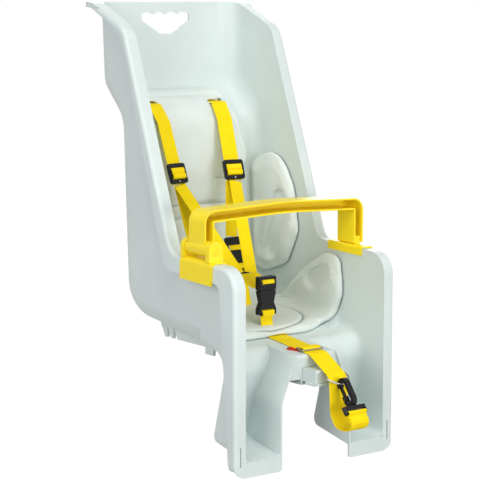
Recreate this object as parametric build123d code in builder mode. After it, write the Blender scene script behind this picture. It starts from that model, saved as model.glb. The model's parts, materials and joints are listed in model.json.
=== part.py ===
"""Child bike seat for a rear rack: moulded shell, pads, harness, hinged grab bar and safety strap.

Millimetres, +Z up, the child faces -Y.  The origin is on the median plane, at the height of the rack
rails that the seat slides on.
"""

import os
from math import cos, radians, sin, tan

from build123d import *

# Shell: overall sizes
wall = 3.0
side_half = 150.0
rim_reach = 20.0
rim_wall = 3.5
rim_round = 7.0
return_foot = 16.0
return_leg = 40.0
return_arm = 30.0
return_elbow = 26.0
return_wing = 12.0
return_top = 9.0
leg_front = -185.0
foot_bottom = -184.0
foot_round = 25.0
arm_front_height = 157.0
arm_rear = -7.0
arm_rear_height = 165.0
wing_top = (129.0, 535.0)
back_top = (230.0, 579.0)
knee_round = 38.0
elbow_round = 28.0
crown_round = 45.0
lip_depth = 5.0
lip_drop = 9.0
lip_round = 16.0

# Shell: profile of the back and the seat, on the outside of the wall
pocket_rear = 253.0
pocket_lean = 3.1
step_top = 432.0
step_height = 58.0
step_depth = 58.0
back_lean = 2.5
floor_rear_height = 42.0
floor_front_height = 2.0
pocket_round = 48.0
step_round = 40.0
seat_round = 70.0
corner_round = 38.0

# Shell: legs and the gap for the wheel between them
gap_half = 72.0
gap_top_half = 42.0
gap_bend_height = -72.0
gap_round = 60.0
leg_rear = -115.0
waist = (-119.0, -27.0)
heel = (-88.0, -142.0)
toe_height = -162.0
thigh_round = 25.0
waist_round = 40.0
heel_round = 14.0
leg_corner = 16.0
nose_drop = 37.0
nose_front = -180.0
nose_round = 6.0

# Shell: holes
hand_hole_half = 52.0
hand_hole_low = 522.0
hand_hole_shoulder = 546.0
hand_hole_high = 561.0
hand_hole_lobes = 4
hand_hole_lobe_round = 24.0
slot_from_middle = 76.0
slot_width = 40.0
slot_height = 9.0
shoulder_slot = 400.0
lower_slot = 263.0
slit_from_middle = 157.0
slit_low = -165.0
slit_high = -132.0
slit_width = 2.0

# Rack rails under the seat
rail_from_middle = 100.0
rail_thickness = 5.0
rail_front = -36.0
rail_rear = 62.0
rail_stop_length = 23.0
rail_stop_drop = 12.0
rail_tooth_pitch = 19.0
rail_tooth_count = 3
rail_tooth_flat = 6.6
rail_tooth_lean = 26.0

# Rack latch under the nose
latch_half = 25.0
latch_front = -213.0
latch_rear = -158.0
latch_low = -40.0
latch_high = -18.0
latch_base_margin = 3.0
latch_base_thickness = 3.5
latch_travel = 8.0
latch_slack = 0.5
guide_wall = 3.0
guide_rear = -138.0
spring_radius = 5.0
spring_wall = 1.2
cover_thickness = 3.0

# Pads
pad_gap = 0.4
pad_thickness = 12.0
pad_seam = 2.0
back_pad_half = 128.0
back_pad_top_half = 90.0
back_pad_top = 424.0
back_pad_middle = 300.0
back_pad_low = 232.0
back_pad_rounds = (22.0, 50.0, 12.0, 26.0)
lumbar_half = 96.0
lumbar_low = 84.0
side_pad_edge = (
    (143.0, 86.0), (143.0, 310.0), (92.0, 312.0), (52.0, 250.0), (40.0, 172.0), (72.0, 112.0)
)
side_pad_rounds = (14.0, 34.0, 60.0, 60.0, 40.0, 24.0)
side_hollow = ((102.0, 181.0), (116.0, 128.0))
side_hollow_width = 32.0
hollow_depth = 4.0
seat_pad_front = -78.0
seat_pad_front_half = 74.0
seat_pad_corner = -34.0
seat_pad_flank = 66.0
seat_pad_rear = 118.0
seat_pad_half = 118.0
seat_pad_rounds = (60.0, 40.0, 30.0, 30.0)
seat_wing_edge = (
    (-74.0, 144.0), (-34.0, 144.0), (30.0, 106.0), (80.0, 58.0), (72.0, 20.0), (-58.0, 20.0), (-84.0, 78.0)
)
seat_wing_rounds = (22.0, 30.0, 70.0, 20.0, 10.0, 30.0, 40.0)
wing_hollow = (-20.0, 98.0)
wing_hollow_half = (28.0, 16.0)
wing_hollow_lean = -24.0
panel_middle = 14.0
panel_half = (112.0, 86.0)
panel_groove = (2.4, 2.0)

# Grab bar and its brackets
bracket_front = -128.0
bracket_rear = -40.0
bracket_wall = 3.0
bracket_fit = 0.4
bracket_skirt = 35.0
bracket_inner_skirt = 12.0
hinge_inset = 12.0
hinge_rise = 20.3
ear_radius = 14.0
ear_thickness = 10.0
hinge_slack = 0.5
pin_radius = 4.0
pin_clearance = 0.05
pin_head_radius = 6.5
pin_head_height = 2.0
pin_dimple = 2.0
barrel_radius = 13.0
ear_front = -120.0
ear_rear = -50.0
bar_front = -103.0
bar_rear = -58.0
bar_rise = 68.0
bar_arch = 6.0
bar_thickness = 20.0
bar_wall = 3.0
bar_round = 11.0
post_inset = 10.0
boss_half = 5.5
boss_height = 15.0

# Harness
webbing = 1.6
web_clear = 0.4
slot_slack = 1.2
loop_slack = 1.0
frame_bars = 3
shoulder_webbing = 30.0
yoke_webbing = 25.0
shoulder_plan = ((76.0, 226.0), (61.0, 123.0))
shoulder_route = ((226.0, 401.0), (183.0, 399.5), (160.0, 370.0), (123.0, 262.0))
adjuster_share = 0.17
adjuster_size = (40.0, 36.0, 5.0)
keeper_height = 33.0
keeper_thickness = 3.0
chest_top = (60.4, 119.4, 261.0)
chest_low = (13.2, 11.5, 114.0)
hip_top = (56.0, 126.0, 261.0)
hip_low = (42.0, 106.4, 164.6)
lap_top = (40.0, 74.3, 94.6)
lap_low = (44.0, 66.0, 43.4)
hip_plate_x = 40.0
hip_plate_top = (106.0, 164.0)
hip_plate_low = (74.0, 94.0)
hip_plate_size = (34.0, 74.0, 4.0)
yoke_half = 24.0
yoke_rear = (8.0, 113.0)
yoke_front = (-41.4, 97.0)
buckle_y = -48.0
buckle_top = 116.0
buckle_split = 92.0
buckle_low = 50.0
buckle_width = 36.0
buckle_waist = 5.0
buckle_depth = 12.0
crotch_y = -52.0
crotch_bend = 32.0
crotch_end = 5.0

# Safety strap in front of the seat
safety_webbing = 38.0
strap_x = 5.0
strap_lift = 1.3
strap_start = -60.0
strap_crest = -182.0
strap_hang = ((-234.0, -27.0), (-237.0, -86.0), (-250.0, -108.0), (-284.0, -108.0))
strap_bends = (12.0, 16.0, 30.0, 22.0, 16.0, 10.0)
strap_tail = 16.0
slider_y = -160.0
slider_size = (46.0, 20.0, 2.6)
tab_y = -148.0
tab_length = 30.0
tab_width = 15.0
ring_wire = 1.6
ring_bar_y = -222.0
ring_depth = 28.0
ring_dip = 26.0
hook_lean = 53.0
hook_length = 50.0
hook_width = 24.0
hook_wire = 6.0
hook_thickness = 9.0
gate_pivot = -9.0
gate_length = 21.0
gate_radius = 2.6
gate_width = 4.4
gate_pin_radius = 1.2
stem_radius = 3.0
stem_length = 5.5
base_depth = 9.0
base_length = 13.0
base_slot = 4.0
base_slot_at = 8.5

# Limits that lie well outside the seat
tub_front = -500.0
tub_top = 700.0
outside = 420.0


def run(angle, rise):
    """Return the horizontal run of a line that leans by an angle over a rise."""
    return rise * tan(radians(angle))


step_low = step_top - step_height
step_rear = pocket_rear - run(pocket_lean, back_top[1] - step_top)
lower_rear = step_rear - step_depth
floor_rear = lower_rear - run(back_lean, step_low - floor_rear_height)
floor_slope = (floor_rear_height - floor_front_height) / (floor_rear - leg_front)
rim_half = side_half + rim_reach
guide_half = latch_half + latch_slack + guide_wall
pad_face = side_half - wall - pad_gap - pad_thickness


def arm_at(y):
    """Return the height of the top of the arm rim at a given Y."""
    slope = (arm_rear_height - arm_front_height) / (arm_rear - leg_front)
    return arm_front_height + slope * (y - leg_front)


hinge_x = hinge_inset - rim_half
hinge_height = arm_at((bar_front + bar_rear) / 2) + hinge_rise
bar_top = hinge_height + bar_rise
post_x = rim_half - post_inset


def floor_under(y):
    """Return the height of the underside of the seat floor at a given Y."""
    return floor_front_height - wall + floor_slope * (y - leg_front)


def floor_over(y, lift):
    """Return the height of a point a little above the top of the seat floor."""
    return floor_under(y) + wall + lift


def tub_solid(inset):
    """Return the filled tub, inset from the outside of its wall and long past the front and the top."""
    with BuildPart() as tub:
        with BuildSketch(Plane.YZ):
            with BuildLine():
                rear = FilletPolyline(
                    (pocket_rear + run(pocket_lean, tub_top - back_top[1]), tub_top),
                    (step_rear, step_top),
                    (lower_rear, step_low),
                    (floor_rear, floor_under(floor_rear)),
                    (tub_front, floor_under(tub_front)),
                    radius=[pocket_round, step_round, seat_round],
                )
                Polyline(rear @ 1, (tub_front, tub_top), rear @ 0)
            make_face()
            offset(amount=-inset, kind=Kind.INTERSECTION)
        extrude(amount=side_half - inset, both=True)
        rounded = tub.edges().filter_by(
            lambda edge: abs(abs(edge.center().X) - side_half + inset) < 0.01
            and edge.center().Y > tub_front + wall * 10
            and edge.center().Z < tub_top - wall * 10
        )
        fillet(rounded, radius=corner_round - inset)
    return tub.part


def gap_profile(grow):
    """Return the +X half of the wheel gap seen from the front, grown by a wall."""
    slope = (gap_half - gap_top_half) / (floor_front_height - gap_bend_height)
    top = floor_front_height + thigh_round * 2
    with BuildSketch() as gap:
        with BuildLine():
            side = FilletPolyline(
                (gap_half + grow, -outside),
                (gap_half + grow, gap_bend_height),
                (gap_top_half + grow - slope * (top - floor_front_height), top),
                radius=gap_round,
            )
            Polyline(side @ 1, (0, top), (0, -outside), side @ 0)
        make_face()
    return gap.sketch


def leg_solid(inset, front):
    """Return the filled leg on the +X side, with its top flared into the seat floor."""
    top = floor_front_height + thigh_round * 2
    flare = leg_rear + thigh_round * 2
    toe = toe_height + (toe_height - heel[1]) * (leg_front - front) / (heel[0] - leg_front)
    with BuildPart() as leg:
        with BuildSketch(Plane.YZ):
            with BuildLine():
                rear = FilletPolyline(
                    (flare, floor_under(flare) + wall / 2),
                    (leg_rear, floor_under(leg_rear)),
                    waist,
                    heel,
                    (front, toe),
                    radius=[thigh_round, waist_round, heel_round],
                )
                Polyline(rear @ 1, (front, top), (flare, top), rear @ 0)
            make_face()
            offset(amount=-inset, kind=Kind.INTERSECTION)
        extrude(amount=side_half - inset)
        rear_edges = leg.edges().filter_by(
            lambda edge: abs(edge.center().X - side_half + inset) < 0.01
            and front + wall * 10 < edge.center().Y < flare - wall * 2
            and edge.center().Z < floor_under(flare) + 2 * wall
        )
        fillet(rear_edges, radius=leg_corner - inset)
        with BuildSketch(Plane.XZ):
            add(gap_profile(inset))
        extrude(amount=outside * 2, both=True, mode=Mode.SUBTRACT)
    return leg.part


def front_outline(inset):
    """Return the region behind the front edge of the shell, seen from the side and inset."""
    with BuildSketch() as outline:
        with BuildLine():
            edge = FilletPolyline(
                (leg_front, -outside),
                (leg_front, arm_front_height),
                (arm_rear, arm_rear_height),
                wing_top,
                back_top,
                (outside * 2, back_top[1]),
                radius=[knee_round, elbow_round, crown_round, crown_round],
            )
            Polyline(edge @ 1, (outside * 2, -outside), edge @ 0)
        make_face()
        offset(amount=-inset, kind=Kind.INTERSECTION)
    return outline.sketch


def inner_corner(before, here, after, first, second):
    """Return the point at two distances from the lines that meet at a corner, on their right-hand side."""
    a = (Vector(*here) - Vector(*before)).normalized()
    b = (Vector(*after) - Vector(*here)).normalized()
    share = (second - first * a.dot(b)) / a.cross(b).Z
    corner = Vector(*here) + a * share + Vector(a.Y, -a.X) * first
    return (corner.X, corner.Y)


def return_outline():
    """Return the region behind the return lip, which is deep on the leg and narrows up the wing."""
    foot, far = (leg_front, foot_bottom), (outside * 2, back_top[1])
    knee, elbow = (leg_front, arm_front_height), (arm_rear, arm_rear_height)
    with BuildSketch() as outline:
        with BuildLine():
            edge = FilletPolyline(
                (leg_front + return_foot, -outside),
                (leg_front + return_foot, foot_bottom),
                inner_corner(foot, knee, elbow, return_leg, return_arm),
                inner_corner(knee, elbow, wing_top, return_arm, return_elbow),
                inner_corner(elbow, wing_top, back_top, return_wing, return_wing),
                inner_corner(wing_top, back_top, far, return_top, return_top),
                (outside * 2, back_top[1] - return_top),
                radius=[knee_round, knee_round / 2, elbow_round, crown_round, crown_round],
            )
            Polyline(edge @ 1, (outside * 2, -outside), edge @ 0)
        make_face()
    return outline.sketch


def lip_outline(inset):
    """Return the plan of the rim with its rounded rear corners, inset and long past the front."""
    with BuildSketch() as outline:
        with Locations((0, pocket_rear + lip_depth)):
            Rectangle(2 * rim_half, outside * 2, align=(Align.CENTER, Align.MAX))
        fillet(outline.vertices().group_by(Axis.Y)[-1], radius=lip_round)
        offset(amount=-inset, kind=Kind.INTERSECTION)
    return outline.sketch


def rim_solid():
    """Return the flange and its return lip round the front edge of the +X side."""
    with BuildPart() as rim:
        with BuildSketch(Plane.YZ.offset(side_half - wall)):
            add(front_outline(0))
        extrude(amount=rim_half - side_half + wall)
        outer = rim.faces().sort_by(Axis.X)[-1].edges().filter_by(
            lambda edge: edge.center().Y < back_top[0] and edge.center().Z > -outside + 1
        )
        fillet(outer, radius=rim_round)
        with BuildSketch(Plane.YZ.offset(side_half)):
            add(front_outline(rim_wall))
        extrude(amount=rim_half - side_half - rim_wall, mode=Mode.SUBTRACT)
        with BuildSketch(Plane.YZ.offset(side_half)):
            add(return_outline())
        extrude(amount=rim_half, mode=Mode.SUBTRACT)
        with BuildSketch(Plane.YZ.offset(side_half - wall)):
            add(return_outline())
        extrude(amount=wall, mode=Mode.SUBTRACT)
        with BuildSketch(Plane.XZ):
            with BuildLine():
                low = FilletPolyline(
                    (0, foot_bottom),
                    (rim_half, foot_bottom),
                    (rim_half, tub_top),
                    radius=foot_round,
                )
                Polyline(low @ 1, (0, tub_top), low @ 0)
            make_face()
        extrude(amount=outside, both=True, mode=Mode.INTERSECT)
        with BuildSketch(Plane.XY.offset(-outside)):
            add(lip_outline(0))
        extrude(amount=outside * 3, mode=Mode.INTERSECT)
    return rim.part


def make_shell():
    """Return the moulded shell: tub, legs, rim, nose, holes and rack rails."""
    leg_outer = leg_solid(0, leg_front)
    leg_inner = leg_solid(wall, tub_front)
    rim = rim_solid()
    with BuildPart() as shell:
        add(tub_solid(0))
        add(leg_outer)
        add(leg_outer.mirror(Plane.YZ))
        # Lip across the top of the back, turned down along its edge
        with BuildSketch(Plane.XY.offset(back_top[1])):
            add(lip_outline(0))
        extrude(amount=-rim_wall)
        with BuildSketch(Plane.XY.offset(back_top[1])):
            add(lip_outline(0))
            add(lip_outline(rim_wall), mode=Mode.SUBTRACT)
        extrude(amount=-lip_drop)
        # Insides and front edge
        add(tub_solid(wall), mode=Mode.SUBTRACT)
        add(leg_inner, mode=Mode.SUBTRACT)
        add(leg_inner.mirror(Plane.YZ), mode=Mode.SUBTRACT)
        with BuildSketch(Plane.YZ):
            add(front_outline(0))
        extrude(amount=rim_half, both=True, mode=Mode.INTERSECT)
        add(rim)
        add(rim.mirror(Plane.YZ))
        # Apron across the toe of each foot
        with BuildSketch(Plane.XZ.offset(-leg_front)):
            with BuildLine():
                toe = FilletPolyline(
                    (gap_half, toe_height + wall),
                    (gap_half, foot_bottom),
                    (side_half + wall, foot_bottom),
                    (side_half + wall, toe_height + wall),
                    radius=[wall * 2, wall],
                )
                Line(toe @ 1, toe @ 0)
            make_face()
            mirror(about=Plane.YZ)
        extrude(amount=-rim_wall)
        # Front face of the nose, set back from the legs
        with BuildSketch(Plane.XY.offset(floor_front_height - nose_drop)):
            with Locations((0, nose_front)):
                Rectangle(2 * gap_top_half, outside, align=(Align.CENTER, Align.MAX))
        extrude(amount=nose_drop * 2, mode=Mode.SUBTRACT)
        with BuildSketch(Plane.XZ.offset(-nose_front)):
            add(gap_profile(wall / 2))
            mirror(about=Plane.YZ)
            with Locations((0, floor_front_height - wall / 2)):
                Rectangle(gap_half * 2, nose_drop, align=(Align.CENTER, Align.MAX), mode=Mode.INTERSECT)
            with Locations((0, latch_high + latch_slack)):
                Rectangle(
                    2 * (latch_half + latch_slack),
                    nose_drop,
                    align=(Align.CENTER, Align.MAX),
                    mode=Mode.SUBTRACT,
                )
        extrude(amount=-wall)
        # Rounded top edge of the nose
        nose_top = floor_over(nose_front, 0)
        with BuildSketch(Plane.YZ):
            with BuildLine():
                edge = FilletPolyline(
                    (nose_front, nose_top - 2 * nose_round),
                    (nose_front, nose_top),
                    (nose_front + 2 * nose_round, floor_over(nose_front + 2 * nose_round, 0)),
                    radius=nose_round,
                )
                Polyline(edge @ 1, (nose_front - nose_round, nose_top + 2 * nose_round), edge @ 0)
            make_face()
        extrude(amount=gap_top_half, both=True, mode=Mode.SUBTRACT)
        # Hand hole: a bowl with shallow lobes for the fingers along its top edge
        lobe = hand_hole_half / hand_hole_lobes
        with BuildSketch(Plane.XZ):
            with Locations((0, hand_hole_high - hand_hole_lobe_round)):
                with GridLocations(2 * lobe, 0, hand_hole_lobes, 1):
                    Circle(hand_hole_lobe_round)
            with BuildSketch(mode=Mode.INTERSECT):
                with BuildLine():
                    bowl = FilletPolyline(
                        (0, hand_hole_low),
                        (lobe, hand_hole_low),
                        (hand_hole_half, hand_hole_shoulder),
                        (hand_hole_half, hand_hole_high),
                        (0, hand_hole_high),
                        radius=[lobe, lobe / 2, lobe / 2],
                    )
                    Line(bowl @ 1, bowl @ 0)
                make_face()
                mirror(about=Plane.YZ)
        extrude(amount=-outside, mode=Mode.SUBTRACT)
        # Harness slots through the back
        for height in (shoulder_slot, lower_slot):
            with BuildSketch(Plane.XZ):
                with Locations((-slot_from_middle, height), (slot_from_middle, height)):
                    SlotOverall(slot_width, slot_height)
            extrude(amount=-outside, mode=Mode.SUBTRACT)
        # Slot for the crotch strap through the floor
        with BuildSketch(Plane.XY.offset(-outside)):
            with Locations((0, crotch_y)):
                Rectangle(yoke_webbing + 2 * slot_slack, webbing + 2 * slot_slack)
        extrude(amount=outside + seat_round, mode=Mode.SUBTRACT)
        # Slits for the foot straps
        with BuildSketch(Plane.XZ.offset(-leg_front)):
            with Locations((0, slit_low)):
                with GridLocations(2 * slit_from_middle, 0, 2, 1):
                    Rectangle(slit_width, slit_high - slit_low, align=(Align.CENTER, Align.MIN))
        extrude(amount=-rim_wall * 2, mode=Mode.SUBTRACT)
        # Rack rails with their front stop and rear teeth
        for side in (-1, 1):
            with BuildSketch(Plane.YZ.offset(side * rail_from_middle)):
                with BuildLine():
                    Polyline(
                        (rail_front, floor_under(rail_front) + wall / 2),
                        (rail_front, -rail_stop_drop),
                        (rail_front + rail_stop_length, -rail_stop_drop),
                        (rail_front + rail_stop_length, 0),
                        (rail_rear, 0),
                        (rail_rear, floor_under(rail_rear) + wall / 2),
                        close=True,
                    )
                make_face()
                for tooth in range(rail_tooth_count):
                    tip = rail_rear + rail_tooth_pitch * tooth
                    with BuildLine():
                        Polyline(
                            (tip, 0),
                            (tip + rail_tooth_flat, 0),
                            (tip + rail_tooth_lean, floor_under(tip) + wall),
                            (tip, floor_under(tip) + wall / 2),
                            close=True,
                        )
                    make_face()
            extrude(amount=rail_thickness / 2, both=True)
        # Guide walls of the rack latch
        guide_top = floor_under(guide_rear) + wall / 2
        for side in (-1, 1):
            with BuildSketch(Plane.XY.offset(latch_low - latch_base_thickness)):
                with Locations((side * (guide_half - guide_wall / 2), guide_rear)):
                    Rectangle(guide_wall, guide_rear - nose_front, align=(Align.CENTER, Align.MAX))
            extrude(amount=floor_front_height - latch_low + latch_base_thickness - wall / 2)
        with BuildSketch(Plane.XY.offset(latch_low - latch_base_thickness)):
            with Locations((0, guide_rear)):
                Rectangle(2 * guide_half, guide_wall, align=(Align.CENTER, Align.MIN))
        extrude(amount=guide_top - latch_low + latch_base_thickness)
    shell.part.label = "shell"
    return shell.part


def pad_layer():
    """Return a layer of foam that lines the whole tub."""
    with BuildPart() as layer:
        add(tub_solid(wall + pad_gap))
        add(tub_solid(wall + pad_gap + pad_thickness), mode=Mode.SUBTRACT)
    return layer.part


def make_back_pad(layer):
    """Return the pad on the back: a broad upper panel and a narrower lumbar panel below it."""
    with BuildPart() as pad:
        with BuildSketch(Plane.XZ):
            with BuildLine():
                edge = FilletPolyline(
                    (0, back_pad_top),
                    (back_pad_top_half, back_pad_top),
                    (back_pad_half, back_pad_middle),
                    (lumbar_half, back_pad_low),
                    (lumbar_half, lumbar_low),
                    (0, lumbar_low),
                    radius=back_pad_rounds,
                )
                Line(edge @ 1, edge @ 0)
            make_face()
            mirror(about=Plane.YZ)
        extrude(amount=-outside)
        add(layer, mode=Mode.INTERSECT)
        for height in (shoulder_slot, lower_slot):
            with BuildSketch(Plane.XZ):
                with Locations((-slot_from_middle, height), (slot_from_middle, height)):
                    SlotOverall(slot_width + pad_seam, slot_height + pad_seam)
            extrude(amount=-outside, mode=Mode.SUBTRACT)
    return pad.part


def make_side_pad(layer):
    """Return the bolster on the +X side wall, beside the child's chest."""
    with BuildPart() as pad:
        with BuildSketch(Plane.YZ.offset(side_half - corner_round)):
            with BuildLine():
                FilletPolyline(*side_pad_edge, radius=side_pad_rounds, close=True)
            make_face()
        extrude(amount=corner_round)
        add(layer, mode=Mode.INTERSECT)
        with BuildSketch(Plane.YZ.offset(pad_face)):
            SlotCenterPoint(*side_hollow, side_hollow_width)
        extrude(amount=hollow_depth, mode=Mode.SUBTRACT)
    return pad.part


def make_seat_pad(layer):
    """Return the pad on the seat, with its wings up the side walls and a slot for the crotch strap."""
    with BuildPart() as pad:
        with BuildSketch(Plane.XY):
            with BuildLine():
                edge = FilletPolyline(
                    (0, seat_pad_front),
                    (seat_pad_front_half, seat_pad_front),
                    (side_half, seat_pad_corner),
                    (side_half, seat_pad_flank),
                    (seat_pad_half, seat_pad_rear),
                    (0, seat_pad_rear),
                    radius=seat_pad_rounds,
                )
                Line(edge @ 1, edge @ 0)
            make_face()
            mirror(about=Plane.YZ)
        extrude(amount=floor_rear_height + pad_thickness)
        for side in (-1, 1):
            with BuildSketch(Plane.YZ.offset(side * (side_half - corner_round))):
                with BuildLine():
                    FilletPolyline(*seat_wing_edge, radius=seat_wing_rounds, close=True)
                make_face()
            extrude(amount=side * corner_round)
        add(layer, mode=Mode.INTERSECT)
        # Hollow in each wing
        for side in (-1, 1):
            with BuildSketch(Plane.YZ.offset(side * pad_face)):
                with Locations(wing_hollow):
                    Ellipse(*wing_hollow_half, rotation=wing_hollow_lean)
            extrude(amount=side * hollow_depth, mode=Mode.SUBTRACT)
        # Sewn groove round the middle panel
        with BuildSketch(
            Plane(
                origin=(0, 0, floor_under(0) + wall + pad_gap + pad_thickness),
                x_dir=(1, 0, 0),
                z_dir=(0, -floor_slope, 1),
            )
        ):
            with Locations((0, panel_middle)):
                Ellipse(*panel_half)
                Ellipse(panel_half[0] - panel_groove[0], panel_half[1] - panel_groove[0], mode=Mode.SUBTRACT)
        extrude(amount=-panel_groove[1], mode=Mode.SUBTRACT)
        with BuildSketch(Plane.XY):
            with Locations((0, crotch_y)):
                Rectangle(yoke_webbing + 2 * web_clear, webbing + 2 * web_clear)
        extrude(amount=outside, mode=Mode.SUBTRACT)
        with BuildSketch(Plane.YZ.offset(strap_x)):
            with BuildLine():
                Polyline(
                    (seat_pad_front - wall, floor_under(seat_pad_front) - wall),
                    (strap_start + wall, floor_under(strap_start) - wall),
                    (strap_start + wall, floor_under(strap_start) + wall + webbing + 4 * web_clear),
                    (seat_pad_front - wall, floor_under(seat_pad_front) + wall + webbing + 4 * web_clear),
                    close=True,
                )
            make_face()
        extrude(amount=safety_webbing / 2 + slot_slack, both=True, mode=Mode.SUBTRACT)
    return pad.part


def make_bracket(side, hinged):
    """Return the saddle that clips over an arm rim, with hinge ears or the boss that the bar rests on."""
    length = bracket_rear - bracket_front
    tilt = (arm_at(bracket_rear) - arm_at(bracket_front)) / length
    saddle = Plane(
        origin=(0, bracket_front, arm_at(bracket_front)), x_dir=(1, 0, 0), z_dir=(0, 1, tilt)
    )
    inner = side_half - wall - bracket_fit
    outer = rim_half + bracket_fit
    with BuildPart() as bracket:
        with BuildSketch(saddle):
            with BuildLine():
                skin = FilletPolyline(
                    (side * (inner - bracket_wall), bracket_inner_skirt),
                    (side * (inner - bracket_wall), -bracket_fit - bracket_wall),
                    (side * (outer + bracket_wall), -bracket_fit - bracket_wall),
                    (side * (outer + bracket_wall), bracket_skirt),
                    radius=[rim_round / 2, rim_round + bracket_wall],
                )
                core = FilletPolyline(
                    (side * inner, bracket_inner_skirt),
                    (side * inner, -bracket_fit),
                    (side * outer, -bracket_fit),
                    (side * outer, bracket_skirt),
                    radius=[bracket_fit, rim_round],
                )
                Line(skin @ 0, core @ 0)
                Line(skin @ 1, core @ 1)
            make_face()
        extrude(amount=length)
        if hinged:
            # Two ears with the bore for the hinge pin
            for front in (ear_front, ear_rear):
                top = arm_at(front + ear_thickness) + bracket_fit + bracket_wall / 3
                with BuildSketch(Plane.XZ.offset(-front)):
                    with Locations((hinge_x, hinge_height)):
                        Circle(ear_radius)
                    with Locations((hinge_x, top)):
                        Rectangle(2 * ear_radius, hinge_height - top, align=(Align.CENTER, Align.MIN))
                    with Locations((hinge_x, hinge_height)):
                        Circle(pin_radius + pin_clearance, mode=Mode.SUBTRACT)
                extrude(amount=-ear_thickness)
        else:
            # Boss that stands in the hollow foot of the bar
            with BuildSketch(Plane.XY.offset(arm_at(bar_rear) + bracket_fit)):
                with Locations((post_x, (bar_front + bar_rear - bar_wall) / 2)):
                    Rectangle(2 * boss_half, bar_rear - bar_front - 3 * bar_wall)
            extrude(amount=boss_height)
            fillet(bracket.faces().sort_by(Axis.Z)[-1].edges(), radius=boss_half / 3)
    return bracket.part


def make_hinge_pin():
    """Return the hinge pin with its two heads."""
    with BuildPart() as pin:
        with BuildSketch(Plane.XZ.offset(-ear_front)):
            with Locations((hinge_x, hinge_height)):
                Circle(pin_radius)
        extrude(amount=-(ear_rear + ear_thickness - ear_front))
        for face, outward in ((ear_front, 1), (ear_rear + ear_thickness, -1)):
            with BuildSketch(Plane.XZ.offset(-face)):
                with Locations((hinge_x, hinge_height)):
                    Circle(pin_head_radius)
            extrude(amount=outward * pin_head_height)
            with BuildSketch(Plane.XZ.offset(outward * pin_head_height - face)):
                with Locations((hinge_x, hinge_height)):
                    Circle(pin_dimple)
            extrude(amount=-outward * pin_head_height, mode=Mode.SUBTRACT)
    return pin.part


def make_grab_bar():
    """Return the grab bar: a channel open to the front, a hinge barrel and a hollow foot."""
    foot = arm_at(bar_rear) + bracket_fit + bracket_wall + hinge_slack
    shoulder = bar_top - bar_arch - bar_thickness / 2
    with BuildPart() as bar:
        with BuildSketch(Plane.XZ.offset(-bar_front)) as body:
            with BuildLine():
                FilletPolyline(
                    (hinge_x, hinge_height),
                    (hinge_x, shoulder),
                    ((hinge_x + post_x) / 2, shoulder + bar_arch),
                    (post_x, shoulder),
                    (post_x, foot),
                    radius=[bar_round, 6 * post_x, bar_round],
                )
            trace(line_width=bar_thickness)
        extrude(amount=bar_front - bar_rear)
        with BuildSketch(Plane.XZ.offset(-bar_front)):
            add(body.sketch_local)
            offset(amount=-bar_wall, kind=Kind.INTERSECTION)
            with Locations((post_x, foot)):
                Rectangle(bar_thickness - 2 * bar_wall, 4 * bar_wall)
        extrude(amount=bar_front - bar_rear + bar_wall, mode=Mode.SUBTRACT)
        with BuildSketch(Plane.XZ.offset(-ear_front - ear_thickness - hinge_slack)):
            with Locations((hinge_x, hinge_height)):
                Circle(barrel_radius)
        extrude(amount=-(ear_rear - ear_front - ear_thickness - 2 * hinge_slack))
        with BuildSketch(Plane.XZ):
            with Locations((hinge_x, hinge_height)):
                Circle(pin_radius + pin_clearance)
        extrude(amount=outside, both=True, mode=Mode.SUBTRACT)
    return bar.part


def make_latch():
    """Return the sprung latch that catches the rack's front hoop."""
    with BuildPart() as latch:
        with BuildSketch(Plane.XY.offset(latch_low)):
            with Locations((0, latch_front)):
                Rectangle(2 * latch_half, latch_rear - latch_front, align=(Align.CENTER, Align.MIN))
        extrude(amount=latch_high - latch_low)
        fillet(latch.faces().sort_by(Axis.Y)[0].edges(), radius=bar_wall / 2)
        with BuildSketch(Plane.XY.offset(latch_low)):
            with Locations((0, latch_front - latch_base_margin)):
                Rectangle(
                    2 * (latch_half + latch_base_margin),
                    nose_front - latch_travel - 2 * latch_slack - latch_front + latch_base_margin,
                    align=(Align.CENTER, Align.MIN),
                )
        extrude(amount=-latch_base_thickness)
    return latch.part


def make_latch_cover():
    """Return the plate under the latch's guide."""
    with BuildPart() as cover:
        with BuildSketch(Plane.XY.offset(latch_low - latch_base_thickness)):
            with Locations((0, guide_rear + guide_wall)):
                Rectangle(
                    2 * guide_half,
                    guide_rear + guide_wall - nose_front,
                    align=(Align.CENTER, Align.MAX),
                )
        extrude(amount=-cover_thickness)
    return cover.part


def make_latch_spring():
    """Return the envelope of the coil spring behind the latch."""
    with BuildPart() as spring:
        with BuildSketch(Plane.XZ.offset(-latch_rear)):
            with Locations((0, (latch_low + latch_high) / 2)):
                Circle(spring_radius)
                Circle(spring_radius - spring_wall, mode=Mode.SUBTRACT)
        extrude(amount=latch_rear - guide_rear)
    return spring.part


def ribbon(route, width, start=(0, 0), heading=(0, 1), bend=8.0):
    """Return flat webbing along a route of run and height, in the upright plane of a heading."""
    length = (heading[0] ** 2 + heading[1] ** 2) ** 0.5
    along = (heading[0] / length, heading[1] / length)
    upright = Plane(
        origin=(start[0], start[1], 0), x_dir=(along[0], along[1], 0), z_dir=(along[1], -along[0], 0)
    )
    with BuildPart() as web:
        with BuildSketch(upright):
            with BuildLine():
                if len(route) == 2:
                    Line(*route)
                else:
                    FilletPolyline(*route, radius=bend)
            trace(line_width=webbing)
        extrude(amount=width / 2, both=True)
    return web.part


def between(start, end, width, side):
    """Return straight webbing between two points that are given for the +X side."""
    heading = (side * (end[0] - start[0]), end[1] - start[1])
    length = (heading[0] ** 2 + heading[1] ** 2) ** 0.5
    return ribbon([(0, start[2]), (length, end[2])], width, (side * start[0], start[1]), heading)


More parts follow.
